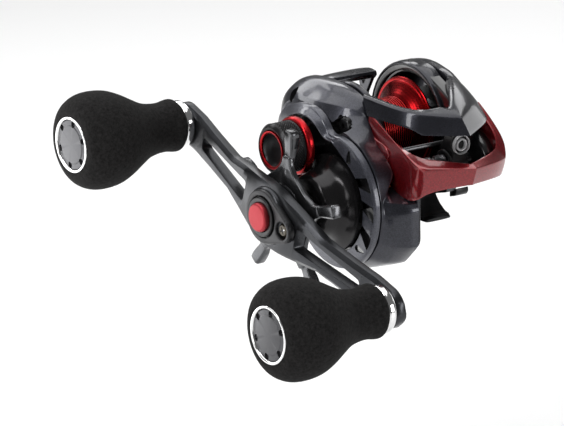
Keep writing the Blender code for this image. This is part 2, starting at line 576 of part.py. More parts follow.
def build_handle():
    """Double handle swept in towards the knobs, with its nut, red cap and lock plate."""
    sections = []
    for step in range(-14, 15):
        reach = step * 4.87
        far = abs(reach)
        width = 10.6 - 4.0 * min(1, far / 26) ** 1.2
        if far > HANDLE_REACH:
            width = 6.6 * math.sqrt(max(0.03, 1 - ((far - HANDLE_REACH) / 7.4) ** 2))
        sweep = 5.2 * min(1, max(0, (far - 9) / 44)) ** 1.1
        outer, inner = -56.0 + sweep, -51.4 + sweep * 0.9
        corners = ((outer, -width), (outer, width), (inner, width), (inner, -width))
        cosine, sine = math.cos(HANDLE_TILT), math.sin(HANDLE_TILT)
        sections.append([
            (x, DRIVE_FORWARD + reach * cosine - across * sine, DRIVE_UP + reach * sine + across * cosine)
            for x, across in corners
        ])
    arm = loft("handle_arm", sections, HANDLE_METAL)
    bevel(arm, 0.8, 1, 50)
    for side in (1, -1):
        slot = fillet([(side * 14, -4.6), (side * 46, -2.6), (side * 46, 2.6), (side * 14, 4.6)], 1.8, 3)
        window = plate("handle_window", [slot], -62, -40)
        window.matrix_world = (
            Matrix.Translation((0, -DRIVE_FORWARD * MM, DRIVE_UP * MM))
            @ SIDE_VIEW
            @ Matrix.Rotation(HANDLE_TILT, 4, "Z")
        )
        cut(arm, window)
    cut(arm, rod("handle_bore", 2.8, -62, -40, axis=DRIVE_AXIS, steps=24))
    cut(arm, rod("lock_screw_bore", 2.0, -62, -52.9, axis=LOCK_SCREW, steps=12))
    for knob in (FRONT_KNOB, REAR_KNOB):
        cut(arm, rod("post_bore", 2.5, -62, -40, axis=knob, steps=24))
    origin = Matrix.Translation((0, -DRIVE_FORWARD * MM, DRIVE_UP * MM))
    arm.data.transform(origin.inverted())
    arm.matrix_world = origin

    nut = [(7.2, -60.2), (7.8, -59.8), (7.8, -56.3), (2.8, -56.3), (2.8, -58.0), (5.9, -58.0), (5.9, -60.2)]
    lathe("handle_nut", nut, BLACK_METAL, DRIVE_AXIS)
    cap = [(0, -61.4), (4.9, -61.4), (5.5, -60.9), (5.5, -58.3), (0, -58.3)]
    lathe("handle_nut_cap", cap, RED_ANODISED, DRIVE_AXIS)
    drop = arc((0, 0), 10.0, 60, 290, 14) + arc((11.2, -2.0), 4.6, -100, 60, 8)
    hole = arc((0, 0), 8.1, 0, 342, 19)
    screw_hole = arc((11.2, -2.0), 1.9, 0, 330, 11)
    plate("nut_lock_plate", [drop, hole, screw_hole], -58.6, -56.3, CAP_METAL, DRIVE_AXIS)
    screw = [(0, -60.1), (2.5, -60.1), (3.0, -59.6), (3.0, -58.9), (1.6, -58.9), (1.6, -53.4), (0, -53.4)]
    lathe("lock_plate_screw", screw, STEEL, LOCK_SCREW, 20)


def build_knob(side, axis):
    """Foam knob on its post, with a polished base ring, a trim ring and a notched end cap."""
    rod(side + "_knob_post", 2.2, -94.0, -45.6, STEEL, axis, 16)
    ring(side + "_knob_base_ring", 2.5, 8.0, -54.2, -51.1, STEEL, axis, 28)
    foam = [(10.4, -96.6), (12.6, -96.2), (15.0, -94.4), (16.6, -91.0), (17.0, -86.6), (16.4, -81.8)]
    foam += [(14.6, -77.4), (11.8, -72.4), (9.8, -68.2), (8.9, -64.0), (8.7, -60.0), (9.3, -56.8)]
    foam += [(9.2, -55.2), (8.6, -54.5), (2.5, -54.5), (2.5, -94.4), (10.4, -94.4)]
    lathe(side + "_knob", foam, EVA, axis, 28)
    trim = [(9.0, -97.2), (10.1, -97.0), (10.1, -94.7), (8.4, -94.7), (8.4, -96.6)]
    lathe(side + "_knob_trim_ring", trim, STEEL, axis, 28)
    notches = []
    for index in range(6):
        middle = 60 * index + 30
        notches += arc((0, 0), 8.1, middle - 48, middle - 12, 4)
        notches += [(6.3 * math.cos(math.radians(middle)), 6.3 * math.sin(math.radians(middle)))]
    plate(side + "_knob_end_cap", [notches], -96.2, -94.7, CAP_METAL, axis)


def build_thumb_bar():
    """Clutch bar behind the spool, and the yoke that it draws the pinion with."""
    shape = [(-17.8, 37.6), (-22, 38.6), (-26.8, 37.9), (-27.4, 36.8), (-23.6, 35.4), (-22.6, 30), (-22.8, 24)]
    shape += [(-20.8, 24), (-20.2, 31), (-18.4, 35.8)]
    plate("thumb_bar", [fillet(shape, 0.7, 2)], -11.3, 12.4, GUNMETAL)


def build_yoke():
    """Fork that slides the pinion in and out of the spool."""
    outline = [(-15, 20.0), (-15, 27.4), (-0.5, 27.4), *arc(SPOOL_AXIS, 2.7, 100, 260, 8), (-0.5, 20.0)]
    plate("clutch_yoke", [outline], -22.6, -21.4, STEEL)


def build_cover_screws():
    """Screws that hold the handle-side cover to the frame."""
    for name, place, head in (("cover_screw_upper", (9.6, 30.6), -22.6),):
        profile = [(0, head), (2.6, head), (3.0, head + 0.5), (3.0, head + 1.0), (0, head + 1.0)]
        lathe(name, profile, STEEL, place, 28)


build_frame()
build_foot()
build_foot_rivets()
build_gear_case()
build_palm_side()
build_hood()
build_cowl()
build_line_guide()
build_spool()
build_drive()
build_star()
build_handle()
build_knob("front", FRONT_KNOB)
build_knob("rear", REAR_KNOB)
build_thumb_bar()
build_yoke()
build_cover_screws()
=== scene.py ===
"""Looks of the low-profile baitcasting reel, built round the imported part.

Lengths are in millimetres until they go into a mesh. Points are (x, forward, up): x runs along the
spool's axis with the handle at -x, and forward is -Y of the row frame.
"""

import math

import bmesh
import bpy
import numpy as np
from mathutils import Matrix, Vector


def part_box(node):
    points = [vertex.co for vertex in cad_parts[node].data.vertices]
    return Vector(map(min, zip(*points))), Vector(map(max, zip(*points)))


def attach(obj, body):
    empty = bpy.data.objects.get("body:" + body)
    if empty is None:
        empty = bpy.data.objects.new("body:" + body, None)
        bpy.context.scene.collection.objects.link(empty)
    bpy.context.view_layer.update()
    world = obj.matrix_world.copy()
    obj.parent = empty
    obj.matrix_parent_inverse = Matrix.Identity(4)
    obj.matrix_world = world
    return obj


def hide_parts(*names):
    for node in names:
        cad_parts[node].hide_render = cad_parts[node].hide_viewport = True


MM = 0.001
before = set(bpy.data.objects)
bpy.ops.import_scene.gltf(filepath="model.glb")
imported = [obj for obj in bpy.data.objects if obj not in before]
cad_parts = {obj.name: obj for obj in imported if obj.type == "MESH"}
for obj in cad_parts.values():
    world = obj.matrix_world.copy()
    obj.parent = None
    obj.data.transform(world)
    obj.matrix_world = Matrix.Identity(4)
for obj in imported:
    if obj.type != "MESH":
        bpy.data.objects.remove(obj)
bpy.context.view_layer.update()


def axis_of(node):
    """(forward, up) of a round CAD node's axis along X."""
    low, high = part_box(node)
    return -(low.y + high.y) / 2 / MM, (low.z + high.z) / 2 / MM


SPOOL = axis_of("spool_shaft")
DRIVE = axis_of("drive_shaft")
WORM = axis_of("worm_shaft")
FRONT_KNOB = axis_of("front_knob_post")
REAR_KNOB = axis_of("rear_knob_post")
TILT = math.atan2(FRONT_KNOB[1] - DRIVE[1], FRONT_KNOB[0] - DRIVE[0])
REACH = math.dist(FRONT_KNOB, DRIVE)
PLATE_RADIUS = 23.5  # of the outer side plate, round the drive axis
PALM_RADIUS = 21.6  # of the palm-side shell, round the spool's axis
PALM_PLANE = 19.0  # x where the palm-side shell starts


# Materials.

FLAKES = 3600  # cells per metre in the lacquers
WAVE_SCALE = 0.31416 / MM  # wave texture scale that repeats every millimetre


class Paint:
    """A Principled material whose colour, roughness and normal come from procedural nodes."""

    def __init__(self, name, colour, metallic, roughness, **sockets):
        self.material = bpy.data.materials.new(name)
        self.material.use_nodes = True
        self.tree = self.material.node_tree
        self.shader = self.tree.nodes["Principled BSDF"]
        self.colour, self.roughness = colour, roughness
        self.shader.inputs["Metallic"].default_value = metallic
        for socket, value in sockets.items():
            self.shader.inputs[socket.replace("_", " ")].default_value = value
        self.place = self.node("ShaderNodeTexCoord").outputs["Object"]
        self.normal = None
        self.material.diffuse_color = (*colour, 1)

    def node(self, kind, inputs=(), **settings):
        made = self.tree.nodes.new(kind)
        for key, value in settings.items():
            setattr(made, key, value)
        for key, value in dict(inputs).items():
            if isinstance(value, bpy.types.NodeSocket):
                self.tree.links.new(value, made.inputs[key])
            else:
                made.inputs[key].default_value = value
        return made

    def noise(self, scale, detail=3.0, roughness=0.55):
        inputs = {"Vector": self.place, "Scale": scale, "Detail": detail, "Roughness": roughness}
        return self.node("ShaderNodeTexNoise", inputs).outputs["Fac"]

    def span(self, value, low, high, start=0.0, end=1.0):
        inputs = {"Value": value, "From Min": start, "From Max": end, "To Min": low, "To Max": high}
        return self.node("ShaderNodeMapRange", inputs).outputs["Result"]

    def cells(self, scale):
        inputs = {"Vector": self.place, "Scale": scale}
        return self.node("ShaderNodeTexVoronoi", inputs, feature="F1")

    def rings(self, axis, pitch, wobble=0.0):
        """Fine circles round an axis along X, a pitch apart in millimetres."""
        shift = (0, axis[0] * MM, -axis[1] * MM)
        place = self.node("ShaderNodeMapping", {"Vector": self.place, "Location": shift}).outputs[0]
        inputs = {"Vector": place, "Scale": WAVE_SCALE / pitch, "Distortion": wobble, "Detail": 1.0}
        return self.node("ShaderNodeTexWave", inputs, wave_type="RINGS", rings_direction="X").outputs["Fac"]

    def stripes(self, pitch):
        """Slanting stripes, a pitch apart in millimetres."""
        inputs = {"Vector": self.place, "Scale": WAVE_SCALE / pitch, "Distortion": 0.0}
        return self.node("ShaderNodeTexWave", inputs, wave_type="BANDS", bands_direction="DIAGONAL").outputs["Fac"]

    def tint(self, factor, dark, light):
        """Vary the colour between darker and lighter shades of itself."""
        low, high = ((*(min(1, c * share) for c in self.colour), 1) for share in (dark, light))
        mix = self.node("ShaderNodeMix", {"Factor": factor, "A": low, "B": high}, data_type="RGBA")
        self.tree.links.new(mix.outputs["Result"], self.shader.inputs["Base Color"])
        return self

    def gloss(self, factor, spread):
        """Vary the roughness by a spread to each side."""
        value = self.span(factor, self.roughness - spread, self.roughness + spread)
        self.tree.links.new(value, self.shader.inputs["Roughness"])
        return self

    def bump(self, height, distance, strength=1.0):
        """Add relief of a height in millimetres."""
        inputs = {"Height": height, "Distance": distance * MM, "Strength": strength}
        if self.normal:
            inputs["Normal"] = self.normal
        self.normal = self.node("ShaderNodeBump", inputs).outputs["Normal"]
        self.tree.links.new(self.normal, self.shader.inputs["Normal"])
        return self


def metallic_paint(name, colour, metallic, roughness, coat=1.0):
    """Glossy lacquer over fine flakes, with a trace of orange peel and handling marks."""
    paint = Paint(name, colour, metallic, roughness, Coat_Weight=coat, Coat_Roughness=0.07)
    paint.tint(paint.span(paint.cells(FLAKES).outputs["Color"], 0.0, 1.0), 0.55, 1.45)
    paint.gloss(paint.noise(70), 0.07)
    paint.bump(paint.noise(420, 2.0), 0.012)
    return paint.bump(paint.cells(FLAKES).outputs["Distance"], 0.006)


def satin_metal(name, colour, metallic, roughness, vary, grain=900, relief=0.01):
    """Anodised or blasted metal with a fine even grain."""
    metal = Paint(name, colour, metallic, roughness)
    metal.tint(metal.noise(grain, 4.0, 0.7), 1 - vary, 1 + vary)
    metal.gloss(metal.noise(90), 0.06)
    return metal.bump(metal.noise(grain * 1.4, 3.0), relief)


def turned_metal(name, colour, axis, pitch, metallic, roughness, relief):
    """Metal with fine lathe marks round an axis."""
    metal = Paint(name, colour, metallic, roughness)
    metal.tint(metal.rings(axis, pitch, 0.4), 0.86, 1.12)
    metal.gloss(metal.noise(160), 0.05)
    return metal.bump(metal.rings(axis, pitch), relief)


GUNMETAL = metallic_paint("gunmetal_lacquer", (0.013, 0.0135, 0.019), 0.75, 0.28, 0.42)
# Black lacquer of the mouth liner, also used as painted shade on the walls of recesses, vents and slots and on the
# frame's inner walls.
BLACK_AND_PAINTED_SHADE = metallic_paint("black_lacquer_and_painted_shade", (0.006, 0.006, 0.007), 0.3, 0.3)
CANDY_RED = metallic_paint("candy_red_lacquer", (0.20, 0.006, 0.010), 0.75, 0.3)
# Lighter copies of the gunmetal lacquer for the case and the side plate: partly their own bluish-grey paint,
# partly painted light for faces that catch the front light.
CASE_LACQUER_PAINTED_LIGHT = metallic_paint("case_lacquer_painted_light", (0.026, 0.027, 0.036), 0.7, 0.30, 0.45)
PLATE_LACQUER_PAINTED_LIGHT = metallic_paint("plate_lacquer_painted_light", (0.056, 0.058, 0.073), 0.5, 0.36, 0.35)
HANDLE = satin_metal("handle_anodised", (0.038, 0.0392, 0.043), 0.85, 0.30, 0.1)
STAR = satin_metal("star_anodised", (0.075, 0.076, 0.080), 0.9, 0.22, 0.1)
PLATE_GREY = satin_metal("lock_plate_anodised", (0.026, 0.026, 0.028), 0.7, 0.40, 0.1)
END_GREY = satin_metal("end_cap_anodised", (0.085, 0.085, 0.090), 0.85, 0.40, 0.12)
BLACK_METAL = satin_metal("black_anodised", (0.016, 0.016, 0.017), 0.7, 0.30, 0.2)
DOME_BLACK = turned_metal("dome_anodised", (0.020, 0.019, 0.020), DRIVE, 0.22, 0.7, 0.20, 0.005)
SPOOL_RED = turned_metal("spool_anodised", (0.27, 0.006, 0.008), SPOOL, 0.9, 1.0, 0.27, 0.01)
# Lit and shaded copies of the spool red: the arbor's lighter red is a painted highlight, and the groove bottoms'
# dark red is painted shade.
ARBOR_RED_PAINTED_HIGHLIGHT = turned_metal("arbor_painted_highlight_red", (0.60, 0.022, 0.022), SPOOL, 0.9, 0.8, 0.36, 0.005)
GROOVE_RED_PAINTED_SHADE = turned_metal("groove_painted_shade_red", (0.05, 0.002, 0.003), SPOOL, 0.9, 0.8, 0.4, 0.005)
CAP_RED = turned_metal("cap_ring_anodised", (0.36, 0.008, 0.012), SPOOL, 0.3, 0.9, 0.28, 0.005)
NUT_RED = turned_metal("nut_cap_anodised", (0.36, 0.035, 0.045), DRIVE, 0.3, 0.85, 0.46, 0.012)
POLISHED = satin_metal("polished_steel", (0.78, 0.78, 0.78), 1.0, 0.10, 0.03, 500, 0.002)
STEEL = satin_metal("machined_steel", (0.42, 0.42, 0.43), 1.0, 0.26, 0.08)
DARK_STEEL = satin_metal("dark_steel", (0.050, 0.044, 0.034), 0.9, 0.34, 0.1)
WORM_STEEL = satin_metal("worm_steel", (0.10, 0.10, 0.105), 0.9, 0.36, 0.08)
BRASS = satin_metal("machined_brass", (0.62, 0.42, 0.16), 1.0, 0.3, 0.1)


def foam_material():
    """Closed-cell foam: near-black, matt, with a fine mottle and tiny pores."""
    foam = Paint("eva_foam", (0.0098, 0.0094, 0.0093), 0.0, 0.88)
    foam.shader.inputs["Specular IOR Level"].default_value = 0.12
    foam.tint(foam.span(foam.noise(800, 6.0, 0.8), 0.0, 1.0, 0.34, 0.66), 0.4, 1.9)
    foam.gloss(foam.noise(1200), 0.08)
    foam.bump(foam.cells(1900).outputs["Distance"], 0.10, 0.7)
    return foam.bump(foam.noise(500, 4.0, 0.7), 0.12, 0.6)


def plastic_material():
    """Moulded plastic with a fine eggshell grain."""
    plastic = Paint("black_plastic", (0.005, 0.005, 0.0055), 0.0, 0.52)
    plastic.shader.inputs["Specular IOR Level"].default_value = 0.25
    plastic.tint(plastic.noise(400), 0.8, 1.3)
    plastic.gloss(plastic.noise(150), 0.07)
    return plastic.bump(plastic.noise(1500, 2.0), 0.02)


def ceramic_material():
    """Polished ceramic of the line ring."""
    ceramic = Paint("line_ring_ceramic", (0.46, 0.46, 0.47), 0.0, 0.16, Coat_Weight=0.6)
    ceramic.tint(ceramic.noise(300), 0.85, 1.15)
    return ceramic.bump(ceramic.noise(700, 2.0), 0.004)


def carbon_material():
    """Woven carbon of the drag washers."""
    carbon = Paint("carbon_washer", (0.016, 0.016, 0.017), 0.0, 0.5)
    carbon.tint(carbon.stripes(0.8), 0.6, 1.6)
    return carbon.bump(carbon.stripes(0.8), 0.04)


FOAM = foam_material()
PLASTIC = plastic_material()
CERAMIC = ceramic_material()
CARBON = carbon_material()


# Shapes.


def placed(name, data):
    """A new object in the scene."""
    made = bpy.data.objects.new(name, data)
    bpy.context.scene.collection.objects.link(made)
    return made


def add(name, mesh, paint, smooth=32):
    """Put a mesh in the scene with its faces pointing out and its hard edges sharp."""
    edit = bmesh.new()
    edit.from_mesh(mesh)
    bmesh.ops.remove_doubles(edit, verts=edit.verts, dist=1e-7)
    bmesh.ops.recalc_face_normals(edit, faces=edit.faces)
    if edit.calc_volume(signed=True) < 0:
        bmesh.ops.reverse_faces(edit, faces=edit.faces)
    edit.to_mesh(mesh)
    edit.free()
    mesh.materials.clear()
    mesh.materials.append(paint.material)
    return shade(placed(name, mesh), smooth)


def shade(piece, smooth):
    """Smooth shading, with edges sharper than the angle left hard."""
    piece.data.shade_smooth()
    piece.data.set_sharp_from_angle(angle=math.radians(smooth))
    return piece


def evaluated(piece):
    """The mesh of a piece with its modifiers applied."""
    bpy.context.view_layer.update()
    graph = bpy.context.evaluated_depsgraph_get()
    return bpy.data.meshes.new_from_object(piece.evaluated_get(graph), depsgraph=graph)


def baked(piece, smooth=32):
    """Apply the piece's modifiers."""
    mesh = evaluated(piece)
    piece.modifiers.clear()
    piece.data = mesh
    return shade(piece, smooth)


def mesh_of(name, points, faces):
    """A mesh from (x, forward, up) points in millimetres."""
    mesh = bpy.data.meshes.new(name)
    mesh.from_pydata([(x * MM, -f * MM, z * MM) for x, f, z in points], [], faces)
    return mesh


def around(steps):
    """Directions of a full turn, in radians."""
    return [2 * math.pi * i / steps for i in range(steps)]


def circle(x, radius, axis, steps):
    """Points round an axis along X. x and radius are each one value, or a list with a value per step."""
    depths, reaches = (value if isinstance(value, list) else [value] * steps for value in (x, radius))
    return [
        (depth, axis[0] + reach * math.cos(turn), axis[1] + reach * math.sin(turn))
        for depth, reach, turn in zip(depths, reaches, around(steps))
    ]


def turned(name, profile, axis, paint, steps=96, smooth=32):
    """Turn (radius, x) points round an axis along X. Ends off the axis are joined to each other."""
    points, faces, rows = [], [], []
    for radius, x in profile:
        if radius < 1e-6:
            rows.append([len(points)] * steps)
            points.append((x, *axis))
            continue
        rows.append([len(points) + i for i in range(steps)])
        points += circle(x, radius, axis, steps)
    pairs = list(zip(rows, rows[1:]))
    if profile[0][0] > 1e-6:
        pairs.append((rows[-1], rows[0]))
    for first, second in pairs:
        for i in range(steps):
            j = (i + 1) % steps
            corners = list(dict.fromkeys((first[i], first[j], second[j], second[i])))
            if len(corners) > 2:
                faces.append(corners)
    return add(name, mesh_of(name, points, faces), paint, smooth)


def peg(name, radius, start, end, axis, paint, steps=96):
    """A plain cylinder along X."""
    return turned(name, [(0, start), (radius, start), (radius, end), (0, end)], axis, paint, steps)


def eased(points, radius, count=3, closed=True):
    """Round the corners of a line of (a, b) points, each by less than half of its shorter side."""
    corners = [Vector(point) for point in points]
    rounded = []
    for i, here in enumerate(corners):
        if not closed and i in (0, len(corners) - 1):
            rounded.append(tuple(here))
            continue
        back, ahead = corners[i - 1] - here, corners[(i + 1) % len(corners)] - here
        reach = min(radius, back.length * 0.48, ahead.length * 0.48)
        start, end = here + back.normalized() * reach, here + ahead.normalized() * reach
        for k in range(count + 1):
            t = k / count
            rounded.append(tuple(start * (1 - t) ** 2 + here * 2 * t * (1 - t) + end * t * t))
    return rounded


def flowing(points, count=6, closed=False):
    """A smooth line through the points (Catmull-Rom)."""
    values = [Vector(p) for p in points]
    size = len(values)
    made = []
    for i in range(size if closed else size - 1):
        a = values[i - 1] if closed or i else values[0]
        b, c = values[i], values[(i + 1) % size]
        d = values[(i + 2) % size] if closed or i + 2 < size else values[-1]
        for k in range(count):
            t = k / count
            part = (2 * b) + (c - a) * t + (2 * a - 5 * b + 4 * c - d) * t**2 + (3 * b - a - 3 * c + d) * t**3
            made.append(tuple(part * 0.5))
    if not closed:
        made.append(tuple(values[-1]))
    return made


def at(centre, radius, degrees):
    """The point of a circle in a direction."""
    turn = math.radians(degrees)
    return centre[0] + radius * math.cos(turn), centre[1] + radius * math.sin(turn)


def arc(centre, radius, start, end, count):
    """Points of a circle from one direction to another, in degrees."""
    return [at(centre, radius, start + (end - start) * i / count) for i in range(count + 1)]


def hull_outline(circles, count=40):
    """Outline round two circles with their outer tangents."""
    (first, big), (second, small) = circles
    turn = math.degrees(math.atan2(second[1] - first[1], second[0] - first[0]))
    lean = math.degrees(math.asin((big - small) / math.dist(first, second)))
    return [
        *arc(second, small, turn - 90 + lean, turn + 90 - lean, count),
        *arc(first, big, turn + 90 - lean, turn + 270 + lean, count),
    ]


def plate(name, outlines, left, right, paint, edge=0.0):
    """A flat piece between two planes across X, with rounded edges. Later outlines are holes."""
    drawn = bpy.data.curves.new(name, "CURVE")
    drawn.dimensions = "2D"
    drawn.fill_mode = "BOTH"
    drawn.extrude = ((right - left) / 2 - edge) * MM
    drawn.bevel_depth, drawn.offset = edge * MM, -edge * MM
    drawn.bevel_resolution = 2
    for outline in outlines:
        spline = drawn.splines.new("POLY")
        spline.points.add(len(outline) - 1)
        for point, (forward, up) in zip(spline.points, outline):
            point.co = (forward * MM, up * MM, 0, 1)
        spline.use_cyclic_u = True
    helper = placed(name + "_curve", drawn)
    mesh = evaluated(helper)
    bpy.data.objects.remove(helper, do_unlink=True)
    middle = (left + right) / 2 * MM
    for vertex in mesh.vertices:
        forward, up, depth = vertex.co
        vertex.co = (middle + depth, -forward, up)
    return add(name, mesh, paint)


def extruded(name, outline, left, right, paint, edge=0.3, holes=(), ease=1.0):
    """A plate whose outline has eased corners."""
    return plate(name, [eased(outline, ease, 4), *holes], left, right, paint, edge)


def turned_elsewhere(name, profile, paint, steps, place):
    """A turned piece whose points are moved: place gives the new (x, y, z) for (along, y, z) in metres."""
    made = turned(name, profile, (0, 0), paint, steps)
    for vertex in made.data.vertices:
        vertex.co = place(*vertex.co)
    return made


def turned_forward(name, profile, x, up, paint, steps=64):
    """Turn (radius, forward) points round an axis that points forward."""
    return turned_elsewhere(name, profile, paint, steps, lambda out, y, z: (x * MM - y, -out, up * MM + z))


def turned_up(name, profile, x, forward, paint, steps):
    """Turn (radius, up) points round an upright axis."""
    return turned_elsewhere(name, profile, paint, steps, lambda out, y, z: (x * MM + z, y - forward * MM, out))


def skin(name, sections, paint, smooth=32, ends=True):
    """Skin over closed rows of equal count, given as (x, forward, up)."""
    count = len(sections[0])
    points = [p for section in sections for p in section]
    faces = []
    for row in range(len(sections) - 1):
        for i in range(count):
            j = (i + 1) % count
            a, b = row * count, (row + 1) * count
            faces.append((a + i, a + j, b + j, b + i))
    if ends:
        faces.append(tuple(range(count))[::-1])
        faces.append(tuple(range((len(sections) - 1) * count, len(sections) * count)))
    return add(name, mesh_of(name, points, faces), paint, smooth)


def soften(piece, width, segments, angle):
    """Round the edges sharper than the angle."""
    rounding = piece.modifiers.new("bevel", "BEVEL")
    rounding.width, rounding.segments = width * MM, segments
    rounding.angle_limit = math.radians(angle)


def carve(piece, *tools, operation="DIFFERENCE", smooth=32):
    """Cut tools out of a piece, or join them to it, and drop them."""
    for tool in tools:
        boolean = piece.modifiers.new(tool.name, "BOOLEAN")
        boolean.operation = operation
        boolean.solver = "EXACT"
        boolean.material_mode = "TRANSFER"
        boolean.object = tool
    baked(piece, smooth)
    for tool in tools:
        bpy.data.objects.remove(tool, do_unlink=True)
    return piece


def cage(name, sections, paint, along, across=(), smooth=40):
    """A subdivided skin. along creases (column, first row, last row, weight), and across
    (row, first column, last column, weight)."""
    piece = skin(name, sections, paint, smooth)
    mesh = piece.data
    count, rows = len(sections[0]), len(sections)

    def key(point):
        return tuple(round(value, 3) for value in point)

    where = {key(sections[row][column]): (row, column) for row in range(rows) for column in range(count)}
    place = [where[key((v.co.x / MM, -v.co.y / MM, v.co.z / MM))] for v in mesh.vertices]
    crease = mesh.attributes.new("crease_edge", "FLOAT", "EDGE")
    for edge in mesh.edges:
        first, second = sorted(place[i] for i in edge.vertices)
        weight = 0.0
        if first[0] == second[0]:
            gap = {first[1], second[1]}
            column = count - 1 if gap == {0, count - 1} else min(gap)
            for row, start, stop, value in across:
                if first[0] == row and start <= column < stop:
                    weight = max(weight, value)
            if first[0] in (0, rows - 1):
                weight = 1.0
        else:
            for column, start, stop, value in along:
                if first[1] == column and start <= first[0] < stop:
                    weight = max(weight, value)
        crease.data[edge.index].value = weight
    division = piece.modifiers.new("division", "SUBSURF")
    division.levels = division.render_levels = 3
    return baked(piece, smooth)


def polar(outline, centre, turns):
    """Distance from a centre to an outline in each direction, in radians."""
    corners = np.array(outline) - np.array(centre)
    side = np.roll(corners, -1, axis=0) - corners
    found = []
    for turn in turns:
        ray = np.array([math.cos(turn), math.sin(turn)])
        cross = ray[0] * side[:, 1] - ray[1] * side[:, 0]
        safe = np.where(abs(cross) < 1e-12, 1e-12, cross)
        reach = (corners[:, 0] * side[:, 1] - corners[:, 1] * side[:, 0]) / safe
        share = (corners[:, 0] * ray[1] - corners[:, 1] * ray[0]) / safe
        hits = reach[(share >= -1e-9) & (share <= 1 + 1e-9) & (reach > 0)]
        found.append(float(hits.max()))
    return found


def blurred(values, width):
    """Round off the corners of a closed run of values."""
    return list(sum(np.roll(values, k) for k in range(-width, width + 1)) / (2 * width + 1))


def shown(piece, body, slot, *replaced):
    """Let a piece ride on its body and stand for CAD nodes. The slot is not used."""
    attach(piece, body)
    if replaced:
        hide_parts(*replaced)
    return piece


def lathe(name, profile, ease, axis, paint, body, slot, *replaced, steps=96, closed=True):
    """Show a turned piece with eased corners."""
    piece = turned(name, eased(profile, ease, 3, closed), axis, paint, steps)
    return shown(piece, body, slot, *replaced)


# Knobs.


def build_knob(side, axis):
    body = side + "_knob_body"
    grip = [
        (8.5, -96.3), (10.6, -96.75), (12.8, -96.2), (15, -94.4), (16.6, -91), (17, -86.6), (16.4, -81.8),
        (14.6, -77.2), (12, -72.4), (9.9, -68.2), (8.9, -64), (8.7, -60), (9.2, -56.8), (9.2, -55.4),
        (8.6, -54.6)
    ]
    grip = [*flowing(grip, 5), (3, -54.5), (3, -93), (8.5, -93)]
    foam = turned(side + "_foam_grip", grip, axis, FOAM, 96, 60)
    shown(foam, body, "eva_foam", side + "_knob")
    rim = [(8.95, -97.25), (9.7, -97.25), (9.85, -96.2), (9.85, -94.7), (8.6, -94.7), (8.6, -96.6)]
    lathe(side + "_bright_rim", rim, 0.25, axis, POLISHED, body, "steel", side + "_knob_trim_ring")
    disc = [(0, -97), (6.6, -97), (6.8, -96.75), (8.5, -96.75), (8.5, -94.9), (0, -94.9)]
    cap = turned(side + "_cap_disc", eased(disc, 0.12, 2, False), axis, END_GREY)
    places = arc(axis, 7.5, 22, 322, 5)
    carve(cap, *[plate("notch", [arc(place, 1.15, 0, 345, 23)], -98, -96, END_GREY) for place in places])
    shown(cap, body, "grey_anodised", side + "_knob_end_cap")
    band = [(2.6, -54.25), (7.9, -54.25), (8.25, -53.7), (8.3, -52.2), (7.9, -51.2), (2.6, -51.2)]
    lathe(side + "_bright_band", band, 0.3, axis, POLISHED, body, "steel", side + "_knob_base_ring")
    post = [(0, -93), (2.2, -93), (2.2, -50), (3.4, -50), (3.4, -45.6), (0, -45.6)]
    lathe(side + "_post", post, 0.3, axis, STEEL, "crank", "steel", side + "_knob_post", steps=48, closed=False)


build_knob("front", FRONT_KNOB)
build_knob("rear", REAR_KNOB)


# Handle, nut and lock plate.


def along(reach, across):
    """(forward, up) of a point on the handle, from the drive axis towards the front knob."""
    cosine, sine = math.cos(TILT), math.sin(TILT)
    return DRIVE[0] + reach * cosine - across * sine, DRIVE[1] + reach * sine + across * cosine


def handle_width(far):
    """Half width of the arm at a distance from the drive axis."""
    if far > REACH:
        return 7.0 * math.sqrt(max(0.02, 1 - ((far - REACH) / 7.4) ** 2))
    return 10.8 - 4.3 * min(1, max(0, far - 3) / 24) ** 1.3 + 0.5 * max(0, (far - 42) / 19)


